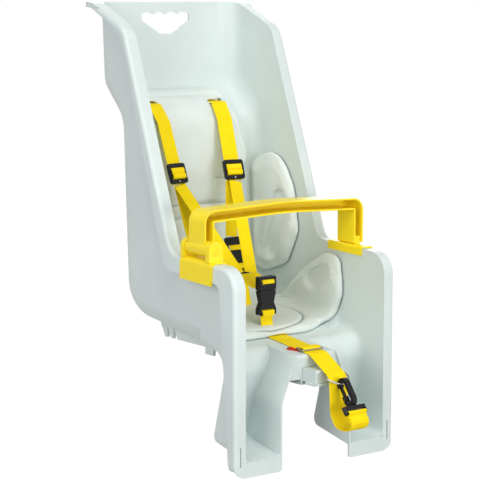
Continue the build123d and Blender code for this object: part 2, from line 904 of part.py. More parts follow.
def strap_plane(top, low, share, lift):
    """Return a plane on a straight strap: X across it, Y up along it and Z out of its front."""
    along = Vector(*top) - Vector(*low)
    across = Vector(along.Y, -along.X, 0).normalized()
    front = across.cross(along).normalized()
    return Plane(origin=Vector(*low) + along * share + front * lift, x_dir=across, z_dir=front)


def make_frame(place, width, length, height, opening, bars):
    """Return a moulded strap frame with openings between its cross bars."""
    pitch = length / (bars - 0.5)
    with BuildPart() as frame:
        with BuildSketch(place):
            RectangleRounded(width, length, height)
            with GridLocations(0, pitch, 1, bars - 1):
                Rectangle(opening, pitch * 0.5, mode=Mode.SUBTRACT)
        extrude(amount=height)
    return frame.part


def strap_front_height(y):
    """Return the height of the safety strap's middle line where it falls from the nose."""
    (y0, z0), (y1, z1) = (strap_crest, floor_under(strap_crest) + wall + strap_lift), strap_hang[0]
    return z0 + (z1 - z0) * (y - y0) / (y1 - y0)


ring_height = strap_front_height(ring_bar_y) - ring_wire - webbing - web_clear
ring_out = Vector(0, -cos(radians(ring_dip)), -sin(radians(ring_dip)))
ring_plane = Plane(
    origin=(strap_x, ring_bar_y, ring_height), x_dir=(1, 0, 0), z_dir=Vector(1, 0, 0).cross(ring_out)
)
hook_along = Vector(0, cos(radians(hook_lean)), sin(radians(hook_lean)))
ring_far = ring_plane.origin + ring_out * ring_depth
hook_plane = Plane(
    origin=ring_far - hook_along * (hook_length / 2 - hook_wire - ring_wire - 2 * web_clear),
    x_dir=hook_along,
    z_dir=(1, 0, 0),
)


def make_shoulder_strap(side):
    """Return the strap from behind the back, through a shoulder slot and down to its adjuster."""
    (x0, y0), (x1, y1) = shoulder_plan
    reach = ((x1 - x0) ** 2 + (y1 - y0) ** 2) ** 0.5
    route = [(reach * (y0 - y) / (y0 - y1), z) for y, z in shoulder_route]
    return ribbon(route, shoulder_webbing, (side * x0, y0), (side * (x1 - x0), y1 - y0))


def on_shoulder(side, y, z):
    """Return a point of the shoulder strap's middle line in space."""
    (x0, y0), (x1, y1) = shoulder_plan
    return (side * (x0 + (x1 - x0) * (y0 - y) / (y0 - y1)), y, z)


def make_adjuster(side):
    """Return the ladder-lock adjuster on the lower end of a shoulder strap."""
    top = on_shoulder(side, *shoulder_route[-2])
    low = on_shoulder(side, *shoulder_route[-1])
    place = strap_plane(top, low, adjuster_share, webbing / 2 + web_clear)
    return make_frame(place, *adjuster_size, shoulder_webbing, frame_bars)


def make_keeper(side):
    """Return the plate that holds a shoulder strap behind the back, flat on the step of the shell."""
    outward = Vector(0, step_height, -step_depth).normalized()
    upward = Vector(0, step_depth, step_height).normalized()
    seat = lower_rear + (shoulder_slot - step_low) * step_depth / step_height
    middle = Vector(side * slot_from_middle, seat, shoulder_slot)
    place = Plane(
        origin=middle + outward * web_clear + upward * slot_slack, x_dir=(1, 0, 0), z_dir=outward
    )
    width = slot_width + 2 * slot_height
    return make_frame(place, width, keeper_height, keeper_thickness, slot_width - wall, 2)


def make_hip_plate(side):
    """Return the two-slot plate that joins the hip strap to the shoulder strap."""
    top = (side * hip_plate_x, hip_plate_top[0], hip_plate_top[1])
    low = (side * hip_plate_x, hip_plate_low[0], hip_plate_low[1])
    return make_frame(strap_plane(top, low, 0.5, 0), *hip_plate_size, yoke_webbing, frame_bars)


def make_buckle_half(low, high, waisted):
    """Return one half of the side-release buckle, with its strap slot at the outer end."""
    half = buckle_width / 2
    with BuildPart() as buckle:
        with BuildSketch(Plane.XZ.offset(-buckle_y)):
            with BuildLine():
                if waisted:
                    edge = FilletPolyline(
                        (0, high),
                        (half, high),
                        (half - buckle_waist, (low + high) / 2),
                        (half, low + 2 * buckle_waist),
                        (half, low),
                        (0, low),
                        radius=buckle_waist / 2,
                    )
                else:
                    edge = FilletPolyline(
                        (0, high), (half, high), (half, low), (0, low), radius=buckle_waist / 2
                    )
                Line(edge @ 1, edge @ 0)
            make_face()
            mirror(about=Plane.YZ)
            with Locations((0, low + 1.5 * buckle_waist if waisted else high - 1.5 * buckle_waist)):
                Rectangle(yoke_webbing + 2 * slot_slack, buckle_waist, mode=Mode.SUBTRACT)
        extrude(amount=buckle_depth / 2, both=True)
    return buckle.part


def make_crotch_keeper():
    """Return the bar under the floor that stops the crotch strap from pulling through."""
    with BuildPart() as keeper:
        with BuildSketch(Plane.XY.offset(crotch_end - web_clear)):
            with Locations((0, crotch_y)):
                SlotOverall(yoke_webbing + 6 * slot_slack, keeper_height / 3)
        extrude(amount=-keeper_thickness)
        with BuildSketch(Plane.XY.offset(crotch_end - web_clear)):
            with Locations((0, crotch_y)):
                with GridLocations(yoke_webbing + 4 * slot_slack, 0, 2, 1):
                    Circle(slot_slack * 1.2)
        extrude(amount=floor_under(crotch_y) - floor_slope * keeper_height - crotch_end)
    return keeper.part


def make_slider():
    """Return the slider that sets the safety strap's length."""
    place = Plane(
        origin=(strap_x, slider_y, floor_over(slider_y, strap_lift + webbing / 2 + web_clear)),
        x_dir=(1, 0, 0),
        z_dir=(0, -floor_slope, 1),
    )
    return make_frame(place, *slider_size, safety_webbing + loop_slack, frame_bars)


def make_pull_tab():
    """Return the short fabric tab that shows beside the safety strap."""
    place = Plane(
        origin=(strap_x - safety_webbing / 2 - web_clear, tab_y, floor_over(tab_y, web_clear)),
        x_dir=(1, 0, 0),
        z_dir=(0, -floor_slope, 1),
    )
    with BuildPart() as tab:
        with BuildSketch(place):
            with BuildLine():
                FilletPolyline(
                    (0, -tab_length / 2),
                    (0, tab_length / 2),
                    (-tab_width, tab_length / 4),
                    radius=webbing,
                    close=True,
                )
            make_face()
        extrude(amount=webbing)
    return tab.part


def make_d_ring():
    """Return the wire ring round the safety strap that the hook holds."""
    half = safety_webbing / 2 + 2 * ring_wire
    with BuildPart() as ring:
        with BuildLine(ring_plane) as path:
            bow = FilletPolyline(
                (half / 2, 0),
                (half, 0),
                (half, ring_depth / 2),
                (half / 2, ring_depth),
                (-half / 2, ring_depth),
                (-half, ring_depth / 2),
                (-half, 0),
                (half / 2 - ring_wire, 0),
                radius=[2 * ring_wire, half / 3, half / 2, half / 2, half / 3, 2 * ring_wire],
            )
            Line(bow @ 1, bow @ 0)
        with BuildSketch(Plane(origin=bow @ 0, z_dir=bow % 0)):
            Circle(ring_wire)
        sweep(path=path.line)
    return ring.part


def make_hook():
    """Return the snap hook: a long ring with a gap for its gate, a fork for the gate and a swivel stem."""
    inner_half = hook_width / 2 - hook_wire
    gate_reach = gate_length - 2 * gate_radius + web_clear
    stem_root = hook_plane.from_local_coords((hook_wire / 2 - hook_length / 2, 0, 0))
    with BuildPart() as hook:
        with BuildSketch(hook_plane):
            SlotOverall(hook_length, hook_width)
            SlotOverall(hook_length - 2 * hook_wire, 2 * inner_half, mode=Mode.SUBTRACT)
        extrude(amount=hook_thickness / 2, both=True)
        with BuildSketch(hook_plane):
            with Locations((gate_pivot + 2 * gate_radius, -inner_half)):
                Rectangle(gate_reach, 2 * hook_wire + 1, align=(Align.MIN, Align.CENTER))
        extrude(amount=hook_thickness, both=True, mode=Mode.SUBTRACT)
        with BuildSketch(hook_plane):
            with Locations((gate_pivot - 1.5 * gate_radius, -inner_half - hook_wire / 2)):
                Rectangle(gate_length, hook_wire * 2, align=(Align.MIN, Align.CENTER))
        extrude(amount=gate_width / 2 + web_clear, both=True, mode=Mode.SUBTRACT)
        with BuildSketch(hook_plane):
            with Locations((gate_pivot, -inner_half - hook_wire / 2)):
                Circle(gate_pin_radius)
        extrude(amount=hook_thickness, both=True, mode=Mode.SUBTRACT)
        with BuildSketch(Plane(origin=stem_root, z_dir=-hook_along)):
            Circle(stem_radius)
        extrude(amount=stem_length + hook_wire / 2)
    return hook.part


def make_gate():
    """Return the sprung gate of the snap hook."""
    middle = -hook_width / 2 + hook_wire / 2
    with BuildPart() as gate:
        with BuildSketch(hook_plane):
            with Locations((gate_pivot, middle)):
                Circle(gate_radius)
            with Locations((gate_pivot, middle)):
                Rectangle(gate_length, 1.6 * gate_radius, align=(Align.MIN, Align.CENTER))
            with Locations((gate_pivot, middle)):
                Circle(gate_pin_radius + pin_clearance, mode=Mode.SUBTRACT)
        extrude(amount=gate_width / 2, both=True)
    return gate.part


def make_gate_pin():
    """Return the pin of the gate."""
    with BuildPart() as pin:
        with BuildSketch(hook_plane):
            with Locations((gate_pivot, -hook_width / 2 + hook_wire / 2)):
                Circle(gate_pin_radius)
        extrude(amount=hook_thickness / 2, both=True)
    return pin.part


def make_hook_base():
    """Return the swivel base: a wide loop for the strap with a bore for the hook's stem."""
    low = hook_plane.from_local_coords((-hook_length / 2 - web_clear, 0, 0))
    base_plane = Plane(origin=low, x_dir=(1, 0, 0), z_dir=-hook_along)
    loop_plane = Plane(origin=low - hook_along * base_slot_at, x_dir=(1, 0, 0), z_dir=base_plane.y_dir)
    with BuildPart() as base:
        with BuildSketch(base_plane):
            SlotOverall(safety_webbing + base_depth, base_depth)
        extrude(amount=base_length)
        with BuildSketch(base_plane):
            Circle(stem_radius + pin_clearance)
        extrude(amount=base_length, mode=Mode.SUBTRACT)
        with BuildSketch(loop_plane):
            RectangleRounded(safety_webbing + loop_slack, base_slot, webbing)
        extrude(amount=base_depth, both=True, mode=Mode.SUBTRACT)
    return base.part


def safety_route():
    """Return the safety strap's corners, from under the seat pad to the base of the hook."""
    base_end = -hook_length / 2 - base_length
    end = hook_plane.from_local_coords((base_end - 2 * web_clear - webbing / 2, 0, 0))
    along = hook_plane.from_local_coords((base_end - strap_tail, 0, 0))
    return [
        (strap_start, floor_over(strap_start, strap_lift)),
        (strap_crest, floor_over(strap_crest, strap_lift)),
        *strap_hang,
        (along.Y, along.Z),
        (end.Y, end.Z),
    ]


os.makedirs("parts", exist_ok=True)
layer = pad_layer()
side_pad = make_side_pad(layer)
pieces = {
    "shell": make_shell(),
    "back_pad": make_back_pad(layer),
    "right_side_pad": side_pad,
    "left_side_pad": side_pad.mirror(Plane.YZ),
    "seat_pad": make_seat_pad(layer),
    "hinge_bracket": make_bracket(-1, True),
    "catch_bracket": make_bracket(1, False),
    "hinge_pin": make_hinge_pin(),
    "grab_bar": make_grab_bar(),
    "rack_latch": make_latch(),
    "latch_cover": make_latch_cover(),
    "latch_spring": make_latch_spring(),
    "yoke_strap": ribbon(
        [(0, yoke_rear[1]), (yoke_rear[0] - yoke_front[0], yoke_front[1])],
        2 * yoke_half,
        (0, yoke_rear[0]),
        (0, -1),
    ),
    "buckle_tongue": make_buckle_half(buckle_split + web_clear, buckle_top, False),
    "buckle_socket": make_buckle_half(buckle_low, buckle_split, True),
    "crotch_strap": ribbon(
        [(0, buckle_low - web_clear), *((buckle_y - crotch_y, z) for z in (crotch_bend, crotch_end))],
        yoke_webbing,
        (0, buckle_y),
        (0, -1),
    ),
    "crotch_keeper": make_crotch_keeper(),
    "safety_strap": ribbon(
        [(strap_start - y, z) for y, z in safety_route()],
        safety_webbing,
        (strap_x, strap_start),
        (0, -1),
        bend=strap_bends,
    ),
    "strap_slider": make_slider(),
    "pull_tab": make_pull_tab(),
    "d_ring": make_d_ring(),
    "hook_body": make_hook(),
    "hook_gate": make_gate(),
    "gate_pin": make_gate_pin(),
    "hook_base": make_hook_base(),
}
for side, name in ((-1, "left"), (1, "right")):
    pieces[f"{name}_shoulder_strap"] = make_shoulder_strap(side)
    pieces[f"{name}_adjuster"] = make_adjuster(side)
    pieces[f"{name}_strap_keeper"] = make_keeper(side)
    pieces[f"{name}_chest_strap"] = between(chest_top, chest_low, yoke_webbing, side)
    pieces[f"{name}_hip_strap"] = between(hip_top, hip_low, yoke_webbing, side)
    pieces[f"{name}_lap_strap"] = between(lap_top, lap_low, yoke_webbing, side)
    pieces[f"{name}_hip_plate"] = make_hip_plate(side)
for name, piece in pieces.items():
    piece.label = name
    export_step(piece, f"parts/{name}.step")
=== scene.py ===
"""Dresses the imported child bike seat: studio, finishes, padded liners, woven straps and moulded fittings.

Lengths are metres in the frame of the CAD model: +Z is up, the child faces -Y and the rack rails meet Z 0.
"""

from __future__ import annotations

import json
import logging
import math
from abc import ABC, abstractmethod
from dataclasses import dataclass
from enum import Enum

import bmesh
import bpy
import numpy as np
from mathutils import Euler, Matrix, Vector

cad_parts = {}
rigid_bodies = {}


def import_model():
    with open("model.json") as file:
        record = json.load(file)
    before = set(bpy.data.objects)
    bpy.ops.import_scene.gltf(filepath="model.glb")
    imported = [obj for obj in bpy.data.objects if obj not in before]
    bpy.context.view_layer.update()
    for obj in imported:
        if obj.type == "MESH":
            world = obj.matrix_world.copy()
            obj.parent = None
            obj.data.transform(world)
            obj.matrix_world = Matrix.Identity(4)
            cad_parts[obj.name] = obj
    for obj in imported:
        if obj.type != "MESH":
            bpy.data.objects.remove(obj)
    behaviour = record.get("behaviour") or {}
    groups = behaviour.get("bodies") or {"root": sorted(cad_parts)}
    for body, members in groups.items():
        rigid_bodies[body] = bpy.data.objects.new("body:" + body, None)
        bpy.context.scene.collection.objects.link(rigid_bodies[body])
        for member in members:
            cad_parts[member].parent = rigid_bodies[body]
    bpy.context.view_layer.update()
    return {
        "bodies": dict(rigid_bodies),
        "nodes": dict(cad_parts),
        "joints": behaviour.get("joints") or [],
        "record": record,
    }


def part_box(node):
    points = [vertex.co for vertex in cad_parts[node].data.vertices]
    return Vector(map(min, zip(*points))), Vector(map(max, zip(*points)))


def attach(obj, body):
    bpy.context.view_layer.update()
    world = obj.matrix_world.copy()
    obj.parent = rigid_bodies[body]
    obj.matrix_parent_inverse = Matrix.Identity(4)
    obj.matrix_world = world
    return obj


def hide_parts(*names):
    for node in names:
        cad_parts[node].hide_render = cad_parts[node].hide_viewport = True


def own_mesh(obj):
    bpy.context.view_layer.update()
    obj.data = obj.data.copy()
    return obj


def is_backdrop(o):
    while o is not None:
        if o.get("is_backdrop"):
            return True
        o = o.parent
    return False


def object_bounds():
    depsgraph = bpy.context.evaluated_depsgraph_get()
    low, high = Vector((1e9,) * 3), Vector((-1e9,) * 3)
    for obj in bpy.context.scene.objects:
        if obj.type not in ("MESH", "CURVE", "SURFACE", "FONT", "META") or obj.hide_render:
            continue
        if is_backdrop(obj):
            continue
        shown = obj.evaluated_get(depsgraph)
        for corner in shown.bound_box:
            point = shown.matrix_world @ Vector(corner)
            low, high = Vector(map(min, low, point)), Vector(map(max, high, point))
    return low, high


Point = tuple[float, float, float]
Flat = tuple[float, float]
Span = tuple[float, float]
Colour = tuple[int, int, int]
Light = tuple[float, float, float, float]
Faces = list[list[int]]
Turns = tuple[tuple[str, tuple[Flat, ...]], ...]

LOG = logging.getLogger("child_seat")

# The attribute of a pad that darkens its seams' thread, and holds the painted shade where the pad meets the
# wall
THREAD_AND_SHADE = "thread_and_shade"

# The signs of X and the names of the seat's sides, and the direction across it
SIDES: tuple[tuple[float, str], ...] = ((-1.0, "left"), (1.0, "right"))
SEAT_ACROSS: Point = (1.0, 0.0, 0.0)

# White light, the whole range of a value, and the range of a noise that shows as soft clouds
WHITE: Light = (1.0, 1.0, 1.0, 1.0)
WHOLE: Span = (0.0, 1.0)
CLOUDY: Span = (0.35, 0.65)

# The least number that anything is divided by
TINY = 1e-9

# Steps in a metre of the grid on which the corners of loose triangles are joined
JOIN_STEPS = 2e5

# Angles in degrees past which the shading of a piece gets a crease
MOULDED_CREASE = 32.0
TRIM_CREASE = 50.0
COIL_CREASE = 60.0
PAD_CREASE = 80.0

# Webbing: its thickness, and the steps along a long strap, a short turn and the sewn tail
WEB_THICKNESS = 0.0016
STRAP_STEP = 0.0025
TURN_STEP = 0.0006
TAIL_STEP = 0.0008

# Points on the arc at a corner of a route, and on a flat and a round side of webbing
CORNER_POINTS = 15
FLAT_POINTS = 13
ROUND_POINTS = 4


class Body(str, Enum):
    """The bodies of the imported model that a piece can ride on."""

    SEAT = "seat"
    BAR = "bar"
    LATCH = "latch"
    HOOK = "hook"
    GATE = "gate"


class Slot(str, Enum):
    """The record's material slots."""

    SHELL = "shell_plastic"
    PAD = "pad_foam"
    WEB = "webbing"
    BLACK = "black_plastic"
    YELLOW = "yellow_plastic"
    STEEL = "steel_wire"
    RED = "red_webbing"


def linear(colour: Colour, gain: float = 1.0) -> Light:
    """Turn a screen colour into linear light.

    A screen's curve is a straight line near black, and a power of 2.4 with a small offset above it.

    Args:
        colour: Red, green and blue from 0 to 255.
        gain: Factor on the linear values.

    Returns:
        Linear red, green and blue with an alpha of 1.
    """
    screen = np.array(colour, dtype=float) / 255.0
    low = screen / 12.92
    high = ((screen + 0.055) / 1.055) ** 2.4
    light = np.clip(np.where(screen <= 0.04045, low, high) * gain, 0.0, 1.0)
    return (float(light[0]), float(light[1]), float(light[2]), 1.0)


class Graph:
    """A material's node tree, with short calls that add and link its nodes."""

    def __init__(self, name: str) -> None:
        """Start a material with one Principled shader.

        Args:
            name: The material's name.
        """
        self.material = bpy.data.materials.new(name)
        self.material.use_nodes = True
        self.tree = self.material.node_tree
        self.shader = self.tree.nodes["Principled BSDF"]

    def set(self, **values: object) -> None:
        """Set plain values on the shader's sockets, with _ for a space in a name."""
        for key, value in values.items():
            self.shader.inputs[key.replace("_", " ")].default_value = value

    def node(
        self, kind: str, inputs: dict[str | int, object] | None = None, **settings: object
    ) -> bpy.types.Node:
        """Add a node.

        Args:
            kind: Blender's name for the node type.
            inputs: Socket name or number to a value, or to the socket that feeds it.
            settings: Properties of the node.

        Returns:
            The new node.
        """
        node = self.tree.nodes.new(kind)
        for key, value in settings.items():
            setattr(node, key, value)
        for key, value in (inputs or {}).items():
            if isinstance(value, bpy.types.NodeSocket):
                self.tree.links.new(value, node.inputs[key])
            else:
                node.inputs[key].default_value = value
        return node

    def place(self) -> bpy.types.NodeSocket:
        """Return the Object coordinates."""
        return self.node("ShaderNodeTexCoord").outputs["Object"]

    def noise(self, vector: bpy.types.NodeSocket, scale: float, detail: float) -> bpy.types.NodeSocket:
        """Return the value of a noise texture of a given scale."""
        made = self.node("ShaderNodeTexNoise", {"Vector": vector, "Scale": scale, "Detail": detail})
        return made.outputs["Fac"]

    def math(self, work: str, first: object, second: object = 0.0) -> bpy.types.NodeSocket:
        """Return the result of a Math node."""
        return self.node("ShaderNodeMath", {0: first, 1: second}, operation=work).outputs[0]

    def spread(self, value: object, source: Span, target: Span) -> bpy.types.NodeSocket:
        """Return a value carried from one range to another, held inside the second."""
        ends = {0: value, 1: source[0], 2: source[1], 3: target[0], 4: target[1]}
        return self.node("ShaderNodeMapRange", ends).outputs[0]

    def mix(self, share: object, first: object, second: object) -> bpy.types.NodeSocket:
        """Return a mix of two colours."""
        return self.node("ShaderNodeMix", {0: share, 6: first, 7: second}, data_type="RGBA").outputs[2]

    def bump(self, height: bpy.types.NodeSocket, depth: float, under: object = None) -> bpy.types.NodeSocket:
        """Bend a normal by a height.

        Args:
            height: A value from 0 to 1.
            depth: The height of 1, in metres.
            under: A normal that this one adds to.

        Returns:
            The bent normal.
        """
        feed: dict[str | int, object] = {"Height": height, "Strength": 1.0, "Distance": depth}
        if under is not None:
            feed["Normal"] = under
        return self.node("ShaderNodeBump", feed).outputs["Normal"]

    def feed(self, socket: str, value: bpy.types.NodeSocket) -> None:
        """Link a value to one of the shader's sockets."""
        self.tree.links.new(value, self.shader.inputs[socket])


@dataclass(frozen=True)
class MouldedFinish:
    """Injection-moulded plastic: a fine spark-eroded grain, slight flow mottle and rubbed patches."""

    name: str
    colour: Colour
    roughness: float
    grain: float = 1500.0
    grain_depth: float = 0.00006
    mottle: float = 0.03
    mottle_scale: float = 9.0
    rub: float = 0.06
    rub_scale: Point = (60.0, 60.0, 11.0)
    rubbed: Span = (0.4, 0.75)
    gloss: float = 0.5

    def build(self) -> bpy.types.Material:
        """Build the material.

        The colour follows a soft noise, the roughness one drawn out along Z, and a fine one bends the normal.

        Returns:
            The material.
        """
        graph = Graph(self.name)
        where = graph.place()
        cloud = graph.spread(graph.noise(where, self.mottle_scale, detail=3.0), CLOUDY, WHOLE)
        dark, light = (linear(self.colour, 1.0 + turn * self.mottle) for turn in (-1.0, 1.0))
        graph.feed("Base Color", graph.mix(cloud, dark, light))
        streak = graph.node("ShaderNodeMapping", {"Vector": where, "Scale": self.rub_scale}).outputs[0]
        shine = (self.roughness, self.roughness - self.rub)
        graph.feed("Roughness", graph.spread(graph.noise(streak, 1.0, detail=4.0), self.rubbed, shine))
        graph.feed("Normal", graph.bump(graph.noise(where, self.grain, detail=2.0), self.grain_depth))
        graph.set(Specular_IOR_Level=self.gloss)
        return graph.material


@dataclass(frozen=True)
class FoamFinish:
    """Moulded soft foam under a thin knitted skin: pebbled surface, dark seams, painted shade where it meets
    the wall, and a dull sheen.
    """

    name: str
    colour: Colour
    thread_and_shade: Colour
    tones: Span = (0.96, 1.02)
    tone_scale: float = 22.0
    pebble: float = 900.0
    pebble_depth: float = 0.00012
    dimple: float = 160.0
    dimple_depth: float = 0.0002
    roughness: float = 0.72
    sheen: float = 0.12
    sheen_roughness: float = 0.5

    def build(self) -> bpy.types.Material:
        """Build the material.

        The colour runs between two tones by a soft noise and turns to the dark colour by the attribute that
        holds the seams' thread and the painted shade where the pad meets the wall.
        Cells and a wider noise bend the normal.

        Returns:
            The material.
        """
        graph = Graph(self.name)
        where = graph.place()
        cloud = graph.spread(graph.noise(where, self.tone_scale, detail=3.0), CLOUDY, WHOLE)
        dark, light = (linear(self.colour, tone) for tone in self.tones)
        sewn_and_shaded = graph.node("ShaderNodeAttribute", attribute_name=THREAD_AND_SHADE).outputs["Fac"]
        graph.feed("Base Color", graph.mix(sewn_and_shaded, graph.mix(cloud, dark, light), linear(self.thread_and_shade)))
        cells = graph.node("ShaderNodeTexVoronoi", {"Vector": where, "Scale": self.pebble})
        fine = graph.bump(cells.outputs["Distance"], self.pebble_depth)
        graph.feed("Normal", graph.bump(graph.noise(where, self.dimple, detail=2.0), self.dimple_depth, fine))
        graph.set(Roughness=self.roughness, Sheen_Weight=self.sheen, Sheen_Roughness=self.sheen_roughness)
        return graph.material


@dataclass(frozen=True)
class WebFinish:
    """Woven webbing: slanting ribs that turn back at each panel, and warp threads, with painted shade in the
    grooves.

    The UV map holds metres, across the strap in U and along it in V. A piece without the map is even.
    """

    name: str
    colour: Colour
    shade: Colour
    panel: float = 0.0048
    rib: float = 0.0017
    thread: float = 0.0008
    warp: float = 0.4
    relief: float = 0.00022
    wear: float = 0.12
    wear_scale: float = 40.0
    worn: Span = (0.3, 0.7)
    shaded: Span = (-0.1, 0.75)
    roughness: float = 0.7
    gloss: float = 0.22

    def build(self) -> bpy.types.Material:
        """Build the material.

        The height is the sine of the distance along, folded back at each panel, over the rib, and a share
        of the sine of the distance across over the thread. It bends the normal, and with random patches of
        wear it sets the colour: painted shade in the grooves, where the shade colour takes over.

        Returns:
            The material.
        """
        graph = Graph(self.name)
        weave = graph.node("ShaderNodeTexCoord").outputs["UV"]
        across, along, _ = graph.node("ShaderNodeSeparateXYZ", {0: weave}).outputs
        slant = graph.math("ADD", along, graph.math("PINGPONG", across, self.panel))
        ribs = graph.math("SINE", graph.math("MULTIPLY", slant, 2 * math.pi / self.rib))
        threads = graph.math("SINE", graph.math("MULTIPLY", across, 2 * math.pi / self.thread))
        height = graph.math("ADD", ribs, graph.math("MULTIPLY", threads, self.warp))
        crest = 1.0 + self.warp
        level = graph.spread(height, (-crest, crest), WHOLE)
        patches = graph.noise(graph.place(), self.wear_scale, detail=3.0)
        groove_shade_and_wear = graph.math("ADD", level, graph.spread(patches, self.worn, (-self.wear, self.wear)))
        tone = graph.spread(groove_shade_and_wear, self.shaded, WHOLE)
        # Painted shade: the grooves of the weave take the shade colour and the crests the full colour
        graph.feed("Base Color", graph.mix(tone, linear(self.shade), linear(self.colour)))
        graph.feed("Normal", graph.bump(level, self.relief))
        graph.set(Roughness=self.roughness, Specular_IOR_Level=self.gloss)
        return graph.material


@dataclass(frozen=True)
class WireFinish:
    """Plated steel: bright metal with fine drawing marks and slight tarnish."""

    name: str
    colour: Colour
    roughness: float
    tarnish: float = 0.8
    tarnish_scale: float = 140.0
    tarnished: Span = (0.35, 0.7)
    dulled: float = 0.12
    drawing: float = 2600.0
    drawing_depth: float = 0.00003

    def build(self) -> bpy.types.Material:
        """Build the material.

        One noise darkens and dulls the metal, and a fine one bends the normal.

        Returns:
            The material.
        """
        graph = Graph(self.name)
        where = graph.place()
        cloud = graph.spread(graph.noise(where, self.tarnish_scale, detail=3.0), self.tarnished, WHOLE)
        graph.feed("Base Color", graph.mix(cloud, linear(self.colour), linear(self.colour, self.tarnish)))
        shine = (self.roughness, self.roughness + self.dulled)
        graph.feed("Roughness", graph.spread(cloud, WHOLE, shine))
        graph.feed("Normal", graph.bump(graph.noise(where, self.drawing, detail=1.0), self.drawing_depth))
        graph.set(Metallic=1.0)
        return graph.material


Finish = MouldedFinish | FoamFinish | WebFinish | WireFinish

FINISHES: dict[Slot, Finish] = {
    Slot.SHELL: MouldedFinish("shell_satin_grey", (212, 223, 221), 0.42),
    # The pad's second colour darkens the seams' thread, and is also painted shade where the pads meet the
    # wall
    Slot.PAD: FoamFinish("liner_foam", (223, 231, 227), (70, 80, 76)),
    # The second colour of each webbing is painted shade in the grooves of its weave
    Slot.WEB: WebFinish("harness_webbing", (255, 230, 0), (253, 209, 0)),
    Slot.BLACK: MouldedFinish(
        "buckle_black", (19, 19, 21), 0.38, grain=1800.0, grain_depth=0.00004, mottle=0.12, rub=0.08,
        gloss=0.24),
    Slot.YELLOW: MouldedFinish(
        "bar_yellow", (255, 227, 28), 0.38, grain_depth=0.00004, mottle=0.02, gloss=0.38),
    Slot.STEEL: WireFinish("plated_wire", (172, 170, 162), 0.2),
    Slot.RED: WebFinish("tab_webbing", (214, 44, 10), (160, 16, 0)),
}


class Wardrobe:
    """Builds each finish once and gives it to the pieces that take it."""

    def __init__(self) -> None:
        """Build every finish."""
        self.materials = {slot: finish.build() for slot, finish in FINISHES.items()}

    def dress(self, piece: bpy.types.Object, slot: Slot, body: Body, *nodes: str) -> bpy.types.Object:
        """Give a piece its finish, its body and the nodes that it stands for.

        Args:
            piece: The new object.
            slot: The record's slot for its finish.
            body: The body that it moves with.
            nodes: CAD nodes that it replaces.

        Returns:
            The same object.
        """
        piece.data.materials.clear()
        piece.data.materials.append(self.materials[slot])
        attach(piece, body.value)
        if nodes:
            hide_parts(*nodes)
        LOG.info("%s rides on %s in %s", piece.name, body.value, slot.value)
        return piece


def new_piece(name: str, points: np.ndarray, faces: Faces) -> bpy.types.Object:
    """Make an object at the origin from points and faces.

    Args:
        name: The object's name.
        points: An array of n by 3 metres.
        faces: Point numbers, one list for each face.

    Returns:
        The object, in the scene's collection.
    """
    mesh = bpy.data.meshes.new(name)
    mesh.from_pydata(points.tolist(), [], faces)
    mesh.validate()
    piece = bpy.data.objects.new(name, mesh)
    bpy.context.scene.collection.objects.link(piece)
    return piece


def merged(node: bpy.types.Object) -> tuple[np.ndarray, Faces]:
    """Read a CAD node's loose triangles as joined ones.

    Corners on the same step of a fine grid become one point, and a triangle that loses a corner goes.

    Args:
        node: The CAD node's object.

    Returns:
        The points, n by 3, and the triangles.
    """
    mesh = node.data
    mesh.calc_loop_triangles()
    points = np.empty(len(mesh.vertices) * 3)
    mesh.vertices.foreach_get("co", points)
    corners = np.empty(len(mesh.loop_triangles) * 3, dtype=np.int64)
    mesh.loop_triangles.foreach_get("vertices", corners)
    grid = np.round(points.reshape(-1, 3) * JOIN_STEPS).astype(np.int64)
    _, first, back = np.unique(grid, axis=0, return_index=True, return_inverse=True)
    triangles = back.reshape(-1)[corners].reshape(-1, 3)
    a, b, c = triangles.T
    whole = (a != b) & (b != c) & (a != c)
    return points.reshape(-1, 3)[first], triangles[whole].tolist()


def read_points(mesh: bpy.types.Mesh) -> tuple[np.ndarray, np.ndarray]:
    """Read a mesh's points and their normals.

    Args:
        mesh: The mesh.

    Returns:
        The points and the normals, n by 3 each.
    """
    points, normals = np.empty((2, len(mesh.vertices) * 3))
    mesh.vertices.foreach_get("co", points)
    mesh.vertices.foreach_get("normal", normals)
    return points.reshape(-1, 3), normals.reshape(-1, 3)


def move_points(mesh: bpy.types.Mesh, points: np.ndarray) -> None:
    """Put a mesh's points in new places."""
    mesh.vertices.foreach_set("co", points.reshape(-1))
    mesh.update()


def smooth(piece: bpy.types.Object, degrees: float) -> None:
    """Shade a piece smooth, with creases where faces meet past an angle.

    Args:
        piece: The piece.
        degrees: The angle between the faces.
    """
    mesh = piece.data
    mesh.polygons.foreach_set("use_smooth", np.ones(len(mesh.polygons), dtype=bool))
    mesh.set_sharp_from_angle(angle=math.radians(degrees))


def face_outwards(piece: bpy.types.Object) -> None:
    """Turn every face of a closed piece outwards.

    Args:
        piece: The piece.
    """
    work = bmesh.new()
    work.from_mesh(piece.data)
    bmesh.ops.recalc_face_normals(work, faces=work.faces)
    work.to_mesh(piece.data)
    work.free()


def apply_modifier(piece: bpy.types.Object, kind: str, **settings: object) -> None:
    """Make the result of a modifier the piece's own mesh.

    Args:
        piece: The piece.
        kind: Blender's name for the modifier.
        settings: The modifier's properties.
    """
    modifier = piece.modifiers.new(kind.lower(), kind)
    for key, value in settings.items():
        setattr(modifier, key, value)
    bpy.context.view_layer.objects.active = piece
    with bpy.context.temp_override(object=piece, active_object=piece, selected_objects=[piece]):
        bpy.ops.object.modifier_apply(modifier=modifier.name)


